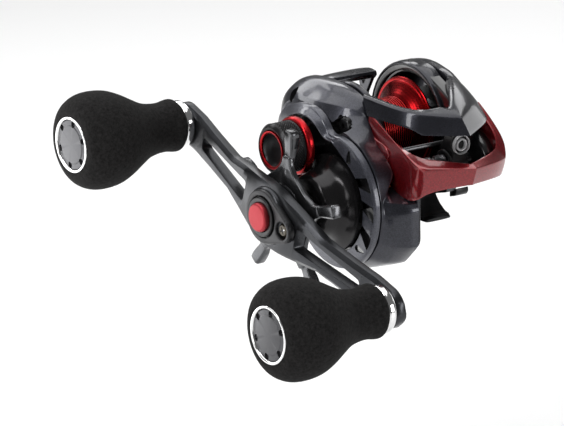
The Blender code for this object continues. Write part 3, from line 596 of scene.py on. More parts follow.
def build_handle():
    sections = []
    stations = sorted({round(side * step * 1.7, 2) for step in range(41) for side in (-1, 1)} | {-68.35, 68.35})
    for reach in stations:
        far = abs(reach)
        width = handle_width(far)
        sweep = 5.2 * min(1, max(0, (far - 9) / 44)) ** 1.1
        outer, inner = -56.0 + sweep, -51.5 + sweep * 0.93
        trim = min(1.5, width * 0.3)
        drop = 1.15 * min(1, far / 20)
        corners = (
            (outer + drop, -width), (outer, -width + trim), (outer, width - trim), (outer + drop, width),
            (inner - 0.6, width), (inner, width - 0.8), (inner, -width + 0.8), (inner - 0.6, -width)
        )
        sections.append([(x, *along(reach, across)) for x, across in corners])
    arm = skin("handle_double_arm", sections, HANDLE)
    tools = []
    corners = ((15.5, -4), (47.5, -2.3), (47.5, 2.3), (15.5, 4))
    for side in (1, -1):
        window = [along(side * reach, across) for reach, across in corners]
        tools.append(plate("window", [eased(window, 1.4, 5)], -62, -40, HANDLE))
    bore = [(0, -62), (6.6, -62), (6.6, -54.9), (2.8, -54.9), (2.8, -40), (0, -40)]
    tools.append(turned("bore", bore, DRIVE, HANDLE))
    for knob in (FRONT_KNOB, REAR_KNOB):
        tools.append(peg("post_bore", 3.6, -62, -40, knob, HANDLE, 48))
    carve(arm, *tools)
    soften(arm, 0.55, 3, 38)
    shown(baked(arm), "crank", "handle_alloy", "handle_arm")

    collar = [(6.9, -57.6), (9.3, -57.6), (9.9, -57), (10.2, -55.6), (6.9, -55.6)]
    lathe("hub_collar", collar, 0.35, DRIVE, HANDLE, "crank", "handle_alloy")
    nut = [(5.2, -59.2), (6.6, -59.2), (6.9, -58.9), (6.9, -55.2), (2.8, -55.2), (2.8, -57.4), (5.2, -57.4)]
    lathe("nut_ring", nut, 0.25, DRIVE, BLACK_METAL, "crank", "black_metal", "handle_nut")
    cap = [(0, -60.8), (4.5, -60.8), (5, -60.2), (5, -57.6), (0, -57.6)]
    cap = turned("nut_red_cap", eased(cap, 0.4, 4, False), DRIVE, NUT_RED)
    shown(cap, "crank", "red_anodised", "handle_nut_cap")

    screw_at = (DRIVE[0] + 11.2, DRIVE[1] - 2.0)
    drop = hull_outline([(DRIVE, 9.3), (screw_at, 4.5)])
    holes = [arc(DRIVE, 7.2, 0, 355, 71), arc(screw_at, 3.05, 0, 350, 35)]
    lock = plate("nut_lock_teardrop", [drop, *holes], -58.5, -56.1, PLATE_GREY, 0.45)
    shown(lock, "crank", "grey_anodised", "nut_lock_plate")
    head = [(0, -57.9), (1.75, -57.9), (2.15, -57.6), (2.6, -57), (2.9, -56.5), (2.9, -56.1), (0, -56.1)]
    screw = turned("lock_screw_head", head, screw_at, DARK_STEEL, 40)
    length, width, cross = 2.6, 0.5, []
    lean, half = math.degrees(math.atan2(width, length)), math.hypot(length, width) / 2
    for turn in (25, 115):
        bar = [at(screw_at, half, turn + corner) for corner in (180 + lean, -lean, lean, 180 - lean)]
        cross.append(plate("slot", [bar], -59.5, -57.3, STEEL))
    carve(screw, *cross)
    shown(screw, "crank", "steel", "lock_plate_screw")


build_handle()


# Star drag.

STAR_START = 14.5  # degrees of the first arm, which points forward


def star_blade(index):
    """One arm: a blade that steps inward and ends in a rounded finger tab."""
    turn = math.radians(STAR_START + 72 * index)
    # Radius, x, half width and thickness.
    stations = [
        (10, -48.4, 3.2, 2.6), (14, -48.5, 2.5, 2.5), (17.5, -48.2, 2, 2.4), (20.5, -47.6, 1.9, 2.6),
        (23, -47.3, 2.1, 3.3), (25.6, -47.3, 2.3, 3.7), (28, -47.4, 2.3, 3.6), (29, -47.5, 1.7, 2.8)
    ]
    sections = []
    for radius, x, half, thick in flowing(stations, 4):
        ring = []
        corners = (
            (-half, -0.6), (-half * 0.7, -1), (half * 0.7, -1), (half, -0.6), (half, 0.7), (half * 0.8, 1),
            (-half * 0.8, 1), (-half, 0.7)
        )
        for across, side in corners:
            forward = radius * math.cos(turn) - across * math.sin(turn)
            up = radius * math.sin(turn) + across * math.cos(turn)
            ring.append((x + side * thick / 2, DRIVE[0] + forward, DRIVE[1] + up))
        sections.append(ring)
    return skin("star_arm", sections, STAR)


def star_web():
    """Flat web that joins the arms in concave curves."""
    valley = ((-36, 14.4), (-20, 15), (-8.5, 17.6), (-5, 20), (5, 20), (8.5, 17.6), (20, 15))
    outline = []
    for index in range(5):
        for shift, radius in valley:
            turn = STAR_START + 72 * index + shift
            outline.append(at(DRIVE, radius, turn))
    return plate("star_web", [flowing(outline, 4, True)], -49.6, -47.4, STAR, 0.6)


def build_star():
    hub = [(3.2, -50.6), (8.2, -50.6), (10.2, -49.6), (10.8, -48.4), (10.6, -44.6), (7.6, -42.1), (3.2, -42.1)]
    star = turned("star_drag_wheel", eased(hub, 0.5), DRIVE, STAR, 96)
    carve(star, star_web(), *[star_blade(index) for index in range(5)], operation="UNION")
    soften(star, 0.35, 2, 40)
    shown(baked(star, 40), "star", "handle_alloy", "star_drag")


build_star()


# Cast-control cap, drag dome and spool.


def build_cap():
    """Cap with a diamond knurl, a turned face and a hollow for the boss."""
    steps, rows, diamonds = 216, 34, 54
    radius, depth, pitch, left, right = 9.0, 0.42, 0.95, -43.6, -36.7
    face = [
        (2, -42.9), (4.5, -43.2), (5.7, -44), (5.9, -44.2), (6.7, -44.2), (7, -44.8), (7.6, -44.95),
        (8, -44.75), (8.75, -43.95)
    ]
    sections = [circle(x, reach, SPOOL, steps) for reach, x in face]
    for row in range(rows + 1):
        x = left + (right - left) * row / rows
        fade = min(1, row / 2, (rows - row) / 2)
        reaches = []
        for i in range(steps):
            u, v = i * diamonds / steps, (x - left) / pitch
            ridge = min(abs((u + v) % 1 - 0.5), abs((u - v) % 1 - 0.5)) * 2
            reaches.append(radius - depth * (1 - min(1, ridge * 1.6)) * fade)
        sections.append(circle(x, reaches, SPOOL, steps))
    sections += [circle(x, 7.6, SPOOL, steps) for x in (-36.55, -42.2)]
    cap = skin("cast_control_knurled", sections, BLACK_METAL, 40)
    shown(cap, "cast_control", "black_metal", "cast_control_cap")
    inset = [(6.65, -45.25), (6.65, -44.3), (5.75, -44.3), (5.75, -45)]
    lathe("cap_red_inset", inset, 0.2, SPOOL, CAP_RED, "cast_control", "red_anodised", "cap_inset_ring")
    collar = [(9.5, -36.35), (10.1, -35.6), (10.1, -33.9), (7.6, -33.9), (7.6, -36.35)]
    lathe("cap_red_collar", collar, 0.35, SPOOL, CAP_RED, "reel_body", "red_anodised", "cap_base_ring")


build_cap()


def build_dome():
    bell = [(9.9, -39.5), (10.8, -38.7), (11.4, -36.6), (12.1, -34.2), (13.4, -32.2), (15.2, -31.1), (16.3, -30.7)]
    inside = [
        (16.75, -30.55), (16.75, -28.4), (16.2, -28.4), (15.6, -29.9), (12.4, -31.2), (10.4, -34), (9.4, -37.8),
        (5.7, -38.1), (5.7, -39.6), (9.2, -39.7)
    ]
    bell = turned("drag_bell", flowing(bell, 5) + inside, DRIVE, DOME_BLACK, 128)
    shown(bell, "reel_body", "black_metal", "drag_dome")


build_dome()


def build_spool():
    left, right, outer, arbor = -11.0, 12.5, 16.5, 10.2
    # (radius, distance in from the flange's outer face)
    flange = [
        (outer - 0.3, 0.0), (outer, 0.25), (outer, 0.8), (outer - 0.25, 1.05), (outer - 1.2, 1.15),
        (outer - 1.4, 1.4), (outer - 1.7, 1.5), (arbor + 1.5, 3.5), (arbor + 1.2, 3.8), (arbor + 0.3, 4.3)
    ]
    profile = [(radius, left + depth) for radius, depth in flange]
    x = left + 4.6
    while x < right - 5.2:
        profile += [(arbor, x), (arbor, x + 0.42), (arbor - 0.4, x + 0.56), (arbor - 0.4, x + 0.76)]
        x += 0.9
    profile.append((arbor, right - 4.5))
    profile += [(radius, right - depth) for radius, depth in reversed(flange)]
    profile += [(1.6, right), (1.6, left)]
    body = turned("line_spool", profile, SPOOL, SPOOL_RED, 128)
    # The arbor's faces take the painted highlight red and the bottoms of its grooves the painted shade red.
    body.data.materials.append(ARBOR_RED_PAINTED_HIGHLIGHT.material)
    body.data.materials.append(GROOVE_RED_PAINTED_SHADE.material)
    for polygon in body.data.polygons:
        middle = polygon.center
        reach = math.dist((-middle.y / MM, middle.z / MM), SPOOL)
        if left + 4.6 < middle.x / MM < right - 4.6:
            polygon.material_index = 2 if reach < arbor - 0.15 else 1
    shown(body, "spool_body", "red_anodised", "spool")


build_spool()


# Handle-side cover and outer side plate.

# Per column: near (forward, up), ridge (x, forward, up), far (forward, up) and how sharp the column is.
COVER = [
    ((-21, 13), (-22.5, -20.6, 13.2), (-19.5, 13), 0),
    ((-25, 21.5), (-22.5, -25, 21.5), (-22, 21.5), 0),
    ((-27.2, 28), (-22.8, -26.2, 28.4), (-22.4, 28), 0),
    ((-27, 35.6), (-22.8, -24.2, 34.8), (-19.8, 32.6), 0),
    ((-22, 40.4), (-23.4, -17.6, 38), (-13.6, 35.6), 0),
    ((-12, 42), (-24.4, -8.3, 36.6), (-6.6, 35.6), 0.1, (-18, -8.6, 40.6)),
    ((1, 42), (-24.2, 0.4, 37.2), (2, 35), 0.1, (-20, 0.5, 39.4)),
    ((9, 40.2), (-21.4, 8.6, 37.3), (8.5, 32.4), 0.1, (-18.4, 8.6, 38.9)),
    ((13.5, 37.8), (-18.2, 13, 36.4), (12.5, 30.3), 0.2),
    ((15.9, 34.5), (-16.6, 15.9, 34.7), (16.7, 30.1), 0.9),
    ((16.4, 24.2), (-17.4, 23.5, 26.6), (24, 27.8), 0.7),
    ((22, 20.2), (-17.4, 29.2, 22.8), (29.9, 23.8), 0.2),
    ((24.6, 15.6), (-17.4, 33.2, 18.7), (33.9, 19.1), 0.3),
    ((40.6, 9.9), (-24.6, 36.4, 10.9), (36.9, 10.5), 0.9),
    ((42, 7.5), (-24, 37.9, 4.4), (37.3, 5), 0.4),
    ((41.7, -5.6), (-20.6, 39.6, -5), (35.8, -3.4), 0.8),
    ((34.5, -13), (-20, 33.6, -12.4), (31, -10.5), 0.5),
    ((22, -18), (-22, 22, -17.8), (22, -16.6), 0),
    ((12, -18.8), (-22, 12, -18.9), (12, -17.8), 0),
    ((1, -15.8), (-22, 0.8, -15.8), (1.2, -14.5), 0),
    ((-7, -8), (-22, -7.2, -8), (-6.2, -7.2), 0),
    ((-11.5, 0.5), (-22, -11.6, 0.6), (-10.2, 1.1), 0),
]
COVER_NEAR, COVER_FAR = -13.5, -25.6
COVER_SCREW = (11.8, 31.4)
DRUM_NEAR = -17.4


def mixed(a, b, share):
    """The point a share of the way from a to b."""
    return tuple(p + (q - p) * share for p, q in zip(a, b))


def build_cover():
    rows = [[] for _ in range(7)]
    for near, ridge, far, _, *bend in COVER:
        start, end = (COVER_NEAR, *near), (COVER_FAR, *far)
        shoulder = (ridge[0] * 0.35 + COVER_NEAR * 0.65, *near)
        middle = mixed((COVER_NEAR, *near), ridge, 0.72)
        middle = mixed(middle, (middle[0], *near), 0.35)
        if ridge[0] == DRUM_NEAR:
            middle = (DRUM_NEAR + 0.3, *near)
        if bend:
            middle = bend[0]
        inner = mixed((20.0, 6.0), far, 0.93)
        column = (start, shoulder, middle, ridge, mixed(ridge, end, 0.55), end, (COVER_FAR, *inner))
        for row, point in zip(rows, column):
            row.append(point)
    along = [(index, 0, 5, entry[3]) for index, entry in enumerate(COVER)]
    across = [
        (5, 0, 22, 0.55), (3, 5, 9, 1), (3, 4, 5, 0.5), (2, 5, 7, 0.9), (3, 13, 16, 0.85), (3, 9, 13, 0.95),
        (2, 9, 13, 0.9)
    ]
    cover = cage("handle_side_case", rows, CASE_LACQUER_PAINTED_LIGHT, along, across, 20)
    # The pocket round the cover screw is cut with black, so its walls carry painted shade.
    screw_room = peg("screw_room", 3.3, -30, -21.8, COVER_SCREW, BLACK_AND_PAINTED_SHADE, 40)
    petals = [
        peg("petal", 1.1, -30, -22.6, point, BLACK_AND_PAINTED_SHADE, 20)
        for point in arc(COVER_SCREW, 3.1, 0, 300, 5)
    ]
    carve(screw_room, *petals, operation="UNION")
    carve(cover, screw_room, leaf_slot(), smooth=22)
    shown(cover, "reel_body", "gunmetal_paint", "handle_side_cover")
    screw = eased([(0, -23.4), (2.3, -23.4), (2.9, -22.9), (2.9, -21.2), (0, -21.2)], 0.2, 3, False)
    head = turned("case_screw_head", screw, COVER_SCREW, BLACK_METAL, 48)
    socket = peg("socket", 1.1, -24, -22.4, COVER_SCREW, BLACK_METAL, 6)
    carve(head, socket)
    shown(head, "reel_body", "steel", "cover_screw_upper")


def leaf_slot():
    """Cutter of the pointed recess behind the top of the case, whose black walls are painted shade."""
    middle, long_way = Vector((-24.1, -16.2, 36.1)), Vector((0.60, -0.20, 0.77)).normalized()
    out_way = Vector((-0.80, -0.10, 0.58))
    out_way = (out_way - long_way * out_way.dot(long_way)).normalized()
    wide_way = long_way.cross(out_way)
    rows = []
    for depth, grow in ((-1.6, 0.75), (0, 1), (3.4, 1.25)):
        ring = []
        for turn in around(28):
            reach = 3.3 * math.cos(turn)
            width = 1.55 * math.sin(turn) * (1 - 0.35 * math.cos(turn) ** 2)
            ring.append(middle + out_way * depth + (long_way * reach + wide_way * width) * grow)
        rows.append(ring)
    return skin("leaf_slot", rows, BLACK_AND_PAINTED_SHADE)


def plate_outline():
    """Round the drive axis, with a lobe round the spool's axis."""
    lobe = [
        (-9.6, 2), (-13.4, 8), (-17.6, 15), (-19.4, 21.5), (-19.2, 28), (-15.6, 32.3), (-10, 35), (-4, 36.2),
        (1, 36.1), (5, 34.6), (7.8, 32.4), (9.8, 30.2), (12.6, 29.2), (16.1, 29.3)
    ]
    return arc(DRIVE, PLATE_RADIUS, 84, -170, 90) + flowing(lobe, 6)[1:-1]


def build_side_plate():
    steps = 288
    centre = (8.0, 13.0)
    turns = around(steps)
    outer = blurred(polar(plate_outline(), centre, turns), 2)
    inner = polar(hull_outline([(SPOOL, 10.4), (DRIVE, 17.3)]), centre, turns)
    inner = [min(reach, edge - 2.2) for reach, edge in zip(inner, outer)]
    # How near each direction is to the brow's middle, from 0 to 1.
    brow_at, brow_width, brow_height = math.radians(128), math.radians(44), 4.0
    away = [(turn - brow_at + math.pi) % (2 * math.pi) - math.pi for turn in turns]
    brow = [math.exp(-((gap / brow_width) ** 2)) for gap in away]
    # Share of the way in, extra reach, x, and how much the brow swells that row.
    profile = [
        (0, -0.9, -25.85, 0), (0, -0.25, -25.9, 0), (0, 0, -26.2, 0), (0, 0, -27.6, 0), (0, -0.1, -28.1, 0),
        (0, -0.32, -28.45, 0.02), (0, -0.65, -28.6, 0.05), (0.25, -0.4, -28.72, 0.25), (0.5, 0, -28.84, 0.5),
        (0.75, 0, -28.96, 0.74), (1, 0.5, -29.1, 0.97), (1, 0.25, -29.12, 1), (1, 0.06, -29, 0.99),
        (1, 0, -28.7, 0.95), (1, 0, -27.8, 0.3), (1, 0, -26.5, 0)
    ]
    rows = []
    for share, extra, x, swell in profile:
        depths = [x - brow_height * swell * near for near in brow]
        reaches = [edge + (core - edge) * share + extra for edge, core in zip(outer, inner)]
        rows.append(circle(depths, reaches, centre, steps))
    side = skin("outer_side_plate", rows, PLATE_LACQUER_PAINTED_LIGHT, 50)
    # The recess's inner wall takes black as painted shade.
    side.data.materials.append(BLACK_AND_PAINTED_SHADE.material)
    for polygon in side.data.polygons:
        middle = polygon.center
        reach = math.dist((-middle.y / MM, middle.z / MM), centre)
        turn = math.atan2(middle.z / MM - centre[1], -middle.y / MM - centre[0]) % (2 * math.pi)
        if reach < inner[int(turn / (2 * math.pi) * steps) % steps] + 0.12:
            polygon.material_index = 1
    tools = []
    # The vents and the pinion tunnel are cut with black, so their walls carry painted shade.
    for start in (38, 12, -16):
        mouth = [*arc(DRIVE, 16.8, start + 5, start - 5, 4), *arc(DRIVE, 22.9, start - 17, start - 3, 6)]
        tools.append(plate("vent", [eased(mouth, 0.5, 2)], -34, -27.2, BLACK_AND_PAINTED_SHADE))
    for turn, reach in ((62, 19.0), (-42, 19.3)):
        tip, tail = at(DRIVE, reach, turn), at(DRIVE, reach + 2.6, turn + 4)
        tools.append(plate("mark", [hull_outline([(tip, 1.25), (tail, 0.5)], 10)], -34, -28.4, BLACK_AND_PAINTED_SHADE))
    tools.append(peg("pinion_tunnel", 4.6, -36, -20, SPOOL, BLACK_AND_PAINTED_SHADE, 48))
    carve(side, *tools, smooth=25)
    shown(side, "reel_body", "gunmetal_paint", "drag_side_plate")
    # The boss in the recess is black as painted shade.
    boss = [(7.3, -36.3), (7.3, -33.6), (5.8, -33.2), (5.8, -26.4), (4.2, -26.4), (4.2, -36.3)]
    shown(turned("cap_boss", boss, SPOOL, BLACK_AND_PAINTED_SHADE), "reel_body", "gunmetal_paint")


build_cover()
build_side_plate()


# Frame, palm side, hood, cowl, clutch bar and line guide.


def build_frame():
    left_wall = [
        (-20, 8), (-22.5, 28), (-20, 35), (-10, 40), (1, 40), (9, 38), (14, 34), (24, 28), (36, 23), (40, 19.5),
        (41, -5), (34, -12), (22, -16.5), (4, -15), (-8, -4)
    ]
    holes = [arc(SPOOL, 5.0, 0, 350, 35), arc(DRIVE, 2.9, 0, 350, 35), arc(WORM, 2.5, 0, 350, 35)]
    wall = extruded("frame_left_wall", left_wall, -13.2, -11.7, GUNMETAL, holes=holes, ease=2.0)
    shown(wall, "reel_body", "frame_metal", "frame")
    rim = [(16.9, -12.4), (18, -12.4), (18.5, -11.8), (18.5, -10.4), (18.1, -9.7), (16.9, -9.7)]
    lathe("frame_left_rim", rim, 0.25, SPOOL, GUNMETAL, "reel_body", "frame_metal", steps=128)
    under = [
        (-19, 2.5), (15, 2.5), (25, 6.6), (34, 11), (41, 13.2), (41, 15), (34, 13), (25, 8.8), (15, 5.4),
        (-18.6, 5.4), (-18.8, 19), (-21.6, 19), (-21.6, 2.9)
    ]
    # The frame's floor is black as painted shade inside the frame.
    shown(extruded("frame_floor", under, -12.4, 14.1, BLACK_AND_PAINTED_SHADE, ease=1.2), "reel_body", "frame_metal")
    stem = [(-10, 1.6), (34, 0.5), (31.2, 1.6), (28.6, 3.3), (26.6, 5.4), (25.6, 7.4), (14, 4.7), (-10, 4.7)]
    shown(extruded("foot_stem", stem, -5.8, 5.8, BLACK_METAL, ease=0.4), "reel_body", "frame_metal")
    mouth = [
        (17.25, 18.6), (17.25, 15.4), (17.8, 14.6), (18.5, 14.4), (18.7, 13.6), (19.5, 13.2), (20.2, 12.9),
        (20.6, 13.1), (20.6, 18.6)
    ]
    ring = turned("spool_mouth_ring", eased(mouth, 0.2), SPOOL, BLACK_AND_PAINTED_SHADE, 160)
    shown(ring, "reel_body", "frame_metal", "spool_mouth_liner")
    shoulder = [
        (20.55, 18.8), (20.55, 13), (20.8, 12.75), (21.2, 12.9), (21.55, 13.7), (21.75, 15.4), (21.75, 18.8)
    ]
    lathe("palm_shoulder", shoulder, 0.2, SPOOL, GUNMETAL, "reel_body", "frame_metal", steps=160)
    # The palm wall is black as painted shade inside the frame.
    steps, bore, least = 240, 19.4, 19.6
    outer = blurred(polar(palm_outline(-1.2), SPOOL, around(steps)), 2)
    rows = []
    for extra, x in ((None, 18.7), (-0.5, 18.7), (0, 18.2), (0, 14.6), (-0.3, 14.2), (-1, 14), (None, 14)):
        reaches = bore if extra is None else [max(least, reach + extra) for reach in outer]
        rows.append(circle(x, reaches, SPOOL, steps))
    rows.append(rows[0])
    shown(skin("frame_palm_wall", rows, BLACK_AND_PAINTED_SHADE, 40, False), "reel_body", "frame_metal")


def palm_outline(grow=0.0):
    """Edge of the palm side, grown away from its middle."""
    over = arc(SPOOL, PALM_RADIUS, 200, 78, 40)
    rest = [
        (10.4, 43.9), (17.2, 41), (23.4, 37.8), (29.4, 34.6), (34, 30.6), (43.2, 24.4), (44.4, 19), (42, 14),
        (34, 10.6), (25, 6.2), (15, 3.2), (6, 2.2), (-8, 3.2), (-15, 8)
    ]
    middle = (4.0, 22.0)
    points = []
    for forward, up in over + eased(rest, 3.0, 5, False):
        away = math.dist(middle, (forward, up))
        scale = (away + grow) / away
        points.append((middle[0] + (forward - middle[0]) * scale, middle[1] + (up - middle[1]) * scale))
    return points


def build_foot():
    sections = []
    # Forward, half width, underside and top.
    for forward, half, low, high in (
        (-29.2, 1.6, 0.2, 1), (-27.4, 3.4, 0, 1.2), (-24, 5.4, 0, 1.3), (-16, 6.9, 0, 1.7), (-10, 7.3, 0, 2.2),
        (16, 7.3, 0, 2.2), (22, 7, 0, 1.8), (30, 6.4, -0.1, 1.3), (33.8, 6, -0.3, 1), (35.2, 5.2, -0.4, 0.7)
    ):
        edge = low * 0.4 + high * 0.6
        ring = (
            (-half, edge - 0.4), (-half * 0.8, low), (half * 0.8, low), (half, edge - 0.4), (half, edge),
            (half * 0.6, high), (-half * 0.6, high), (-half, edge)
        )
        sections.append([(x, forward, up) for x, up in ring])
    last = len(sections) - 1
    creases = [(column, 0, last, 0.6) for column in (0, 3, 4, 7)]
    foot = cage("foot_tongue", sections, BLACK_METAL, creases)
    hole = [(0, -1), (1.45, -1), (1.45, 4), (0, 4)]
    carve(foot, *[turned_up("rivet_hole", hole, 0.0, place, BLACK_METAL, 32) for place in (-6.0, 12.0)])
    shown(foot, "reel_body", "black_metal", "reel_foot")
    rail = [(24, 6), (25, 5.7), (33.4, 8.3), (33.8, 9), (33.8, 12), (24, 7.6)]
    shown(extruded("latch_rail", rail, 4.6, 8.6, END_GREY, 0.25, ease=0.3), "reel_body", "grey_anodised")
    latch = [(30.6, 7.6), (34.2, 9.2), (34.4, 7.6), (33.6, 6.4), (30.6, 5.4)]
    latch = extruded("latch_slider", latch, 8.2, 13.6, BLACK_METAL, ease=0.5)
    shown(latch, "reel_body", "black_metal", "palm_plate_latch")


def build_palm_cover():
    """Domed shell of the palm side with a round pocket for the dial."""
    steps = 288
    outer = blurred(polar(palm_outline(), SPOOL, around(steps)), 3)
    # Rows: distance out from the palm plane, inset of the edge, and share of the nose that is left.
    path = [
        (0, 0, 1), (1.2, 0.05, 0.98), (2.6, 0.25, 0.93), (4, 0.65, 0.84), (5.2, 1.3, 0.72), (6.3, 2.2, 0.60),
        (7.2, 3.4, 0.48), (7.9, 4.8, 0.37), (8.4, 6.2, 0.27), (8.7, 7.6, 0.2), (8.8, 9, 0.12)
    ]

    def ring(out, inset, share):
        reaches = [
            max(9.9, min(reach, PALM_RADIUS) - inset + max(0.0, reach - PALM_RADIUS) * share) for reach in outer
        ]
        return circle(PALM_PLANE + out, reaches, SPOOL, steps)

    rows = [ring(4.6, 3.6, 0.5), ring(2.4, 2.2, 0.8), ring(0, 1.7, 0.95), ring(0, 0.35, 0.99)]
    rows += [ring(out + 0.25, inset, share) for out, inset, share in flowing(path, 3)]
    rows += [circle(x, radius, SPOOL, steps) for radius, x in ((9.6, 27.9), (9.25, 27.7), (9.2, 26.6))]
    shown(skin("palm_dome", rows, GUNMETAL, 30), "reel_body", "gunmetal_paint", "palm_side_cover")
    dial = [(0, 26.9), (8.7, 26.9), (8.7, 29.2), (8.3, 29.9), (7.2, 30), (6.9, 29.6), (0, 29.4)]
    dial = turned("brake_dial_disc", eased(dial, 0.25, 3, False), SPOOL, PLASTIC, 120)
    bar = hull_outline([(at(SPOOL, 5.2, 180), 1.3), (at(SPOOL, 5.2, 0), 1.3)])
    bar = plate("grip_bar", [bar], 29.0, 30.3, PLASTIC, 0.3)
    notches = [
        peg("notch", 0.55, 26, 31, point, PLASTIC, 16)
        for point in arc(SPOOL, 8.95, 0, 345, 23)
    ]
    carve(dial, *notches)
    carve(dial, bar, operation="UNION")
    shown(dial, "brake_knob", "black_plastic", "brake_dial")


def build_hood():
    # Each section: outer bottom, outer top, crown, inner top, under side.
    sections = [
        [(-17, 16.6, 35), (-15.6, 12.4, 40.4), (-14.6, 11.4, 41), (-12.8, 10.5, 41), (-13.2, 15, 35.4)],
        [(-14.8, 29, 34.5), (-13.6, 25.5, 39.3), (-12.8, 25, 39.9), (-11.2, 24.5, 39.9), (-11.4, 27, 35)],
        [(-12.2, 35, 34.2), (-11.4, 31.8, 38.9), (-10.6, 31.4, 39.5), (-9, 30.5, 39.6), (-9.2, 32.5, 34.8)],
        [(-10.2, 38.6, 32.2), (-9.3, 35, 38.7), (-8.5, 34.4, 39.3), (-7, 32.9, 39.5), (-7.4, 35.2, 33.6)],
        [(-3.2, 46.6, 32.8), (-2.8, 42.6, 38.6), (-2.2, 41.4, 39.4), (-2.6, 36.4, 40.3), (-3, 39.6, 34.6)],
        [(0.9, 51, 33.4), (0.6, 46.4, 38.7), (0.8, 45, 39.6), (0.4, 37.4, 41.2), (-0.4, 42, 35.4)],
        [(5.4, 48, 33.2), (5.2, 43, 38.9), (4.6, 40, 41), (3.6, 33.6, 42.3), (4.4, 36.6, 36.6)],
        [(15.6, 41, 32.8), (14.2, 36.4, 38.8), (11.8, 32.2, 42.4), (9, 26, 43.8), (9.4, 27.6, 39)],
        [(20.4, 36, 32.8), (19.8, 31, 37.4), (18.2, 25.8, 42), (15.2, 19, 44.7), (14.4, 20.1, 40)],
        [(22.4, 31, 33), (22.2, 25.2, 37.4), (21, 20.4, 41.5), (18.6, 14, 44.6), (17.6, 15.5, 40.4)],
    ]
    last = len(sections) - 1
    creases = [
        (0, 0, last, 0.95), (1, 0, 7, 0.85), (1, 7, last, 0.55), (2, 0, 5, 0.3), (3, 0, 5, 0.8),
        (4, 0, last, 0.9)
    ]
    hood = cage("front_hood", sections, GUNMETAL, creases, [(5, 0, 1, 1), (5, 1, 2, 0.6), (3, 0, 1, 0.6)], 22)
    # The mouth and the crescent slot are cut with black, so their walls carry painted shade.
    mouth = peg("mouth", 21.35, 12.4, 26, SPOOL, BLACK_AND_PAINTED_SHADE, 120)
    slot = turned("slot", [(21.0, 12.9), (24.6, 12.9), (24.6, 15.4), (21.0, 15.4)], SPOOL, BLACK_AND_PAINTED_SHADE, 120)
    keep = plate("keep", [[(8, 45), (9.5, 60), (45, 60), (45, 33.5), (22, 33.5)]], 10, 18, BLACK_AND_PAINTED_SHADE)
    carve(slot, keep, operation="INTERSECT")
    carve(hood, mouth, slot, smooth=22)
    shown(hood, "reel_body", "gunmetal_paint", "hood")


def build_cowl():
    # Each section: bottom, ridge, top edge, inner top, inner bottom.
    sections = [
        [(-16.9, 16.9, 24), (-17, 17, 30.5), (-16.4, 17, 35.8), (-15.4, 17.4, 35.4), (-15.4, 17.4, 24.6)],
        [(-17, 20.4, 21.8), (-17.1, 20.8, 28.5), (-16.4, 20.6, 34.6), (-15.4, 20.6, 33.9), (-15.4, 20.8, 22.6)],
        [(-17, 23.6, 18.2), (-17.2, 25.5, 25), (-16.4, 26.2, 32), (-15.4, 26, 31.2), (-15.4, 24, 19)],
        [(-17, 25.6, 14.2), (-17.2, 29.5, 21.8), (-16.4, 31.8, 29.4), (-15.4, 31.4, 28.6), (-15.4, 26, 15)],
        [(-16.8, 34, 11.8), (-17, 36, 18), (-16.2, 37.4, 26.6), (-14, 36.4, 26.6), (-15, 34, 12.8)],
        [(-16.4, 41, 10.2), (-16.6, 42.4, 16), (-15.6, 43.6, 23.4), (-10.8, 39.6, 25.2), (-12.4, 39, 13)],
        [(-14.6, 43.8, 12.2), (-13.8, 45.2, 17.4), (-13.2, 46, 23), (-9.4, 40.8, 24.8), (-10.4, 40.6, 14.2)],
        [(-11.4, 45.6, 14.6), (-10.8, 46.6, 18.2), (-10.2, 47.2, 22.8), (-7.2, 43, 24.6), (-8, 42.2, 16.2)],
        [(1.8, 51.4, 16.2), (1.9, 52.4, 19.2), (2, 53.2, 22.4), (1.4, 50.2, 23.6), (1.2, 48.4, 17.6)],
        [(13.4, 48.4, 15.6), (13.9, 49.4, 18.6), (14, 50.2, 22), (12.4, 47, 24.2), (12.4, 45.6, 17.2)],
        [(18.8, 45.6, 15), (19.4, 46.6, 18.4), (19.6, 47, 21.6), (17, 44.4, 25.2), (17, 43, 17.6)],
        [(20.6, 43.4, 17.6), (21.4, 44.8, 21.6), (21.2, 44.4, 25.8), (18.4, 42.6, 27.4), (18.2, 41.6, 20.6)],
        [(21, 39.4, 23.6), (21.8, 41, 27), (21.2, 40.6, 29.6), (18.8, 39.6, 30.2), (18.4, 38.4, 25.2)],
        [(20.6, 34, 29.8), (21.2, 35, 32), (20.8, 35.2, 34), (18.4, 34.4, 34.4), (18.2, 33.6, 30.8)],
        [(20.2, 29.6, 33.8), (20.8, 30, 35.6), (20.4, 30.4, 37.2), (18.4, 29.8, 37.4), (18.2, 29.4, 34.2)],
    ]
    last = len(sections) - 1
    creases = [(0, 0, last, 0.95), (2, 0, last, 0.9), (3, 0, last, 0.8), (4, 0, last, 0.8)]
    across = [(8, 0, 4, 1), (6, 0, 2, 0.5), (10, 0, 3, 0.4), (5, 2, 3, 0.4)]
    cowl = cage("nose_cowl", sections, CANDY_RED, creases, across, 22)
    shown(cowl, "reel_body", "candy_red_paint", "front_cowl")
    ear = [
        (17.5, 30.4), (22.1, 28.2), (27, 27.4), (30.1, 25.2), (28.6, 22), (29.6, 18.4), (26.5, 17),
        (24, 20), (19, 24.6)
    ]
    shown(extruded("cowl_ear", ear, -17.6, -16.2, CANDY_RED, 0.35, ease=1.6), "reel_body", "candy_red_paint")


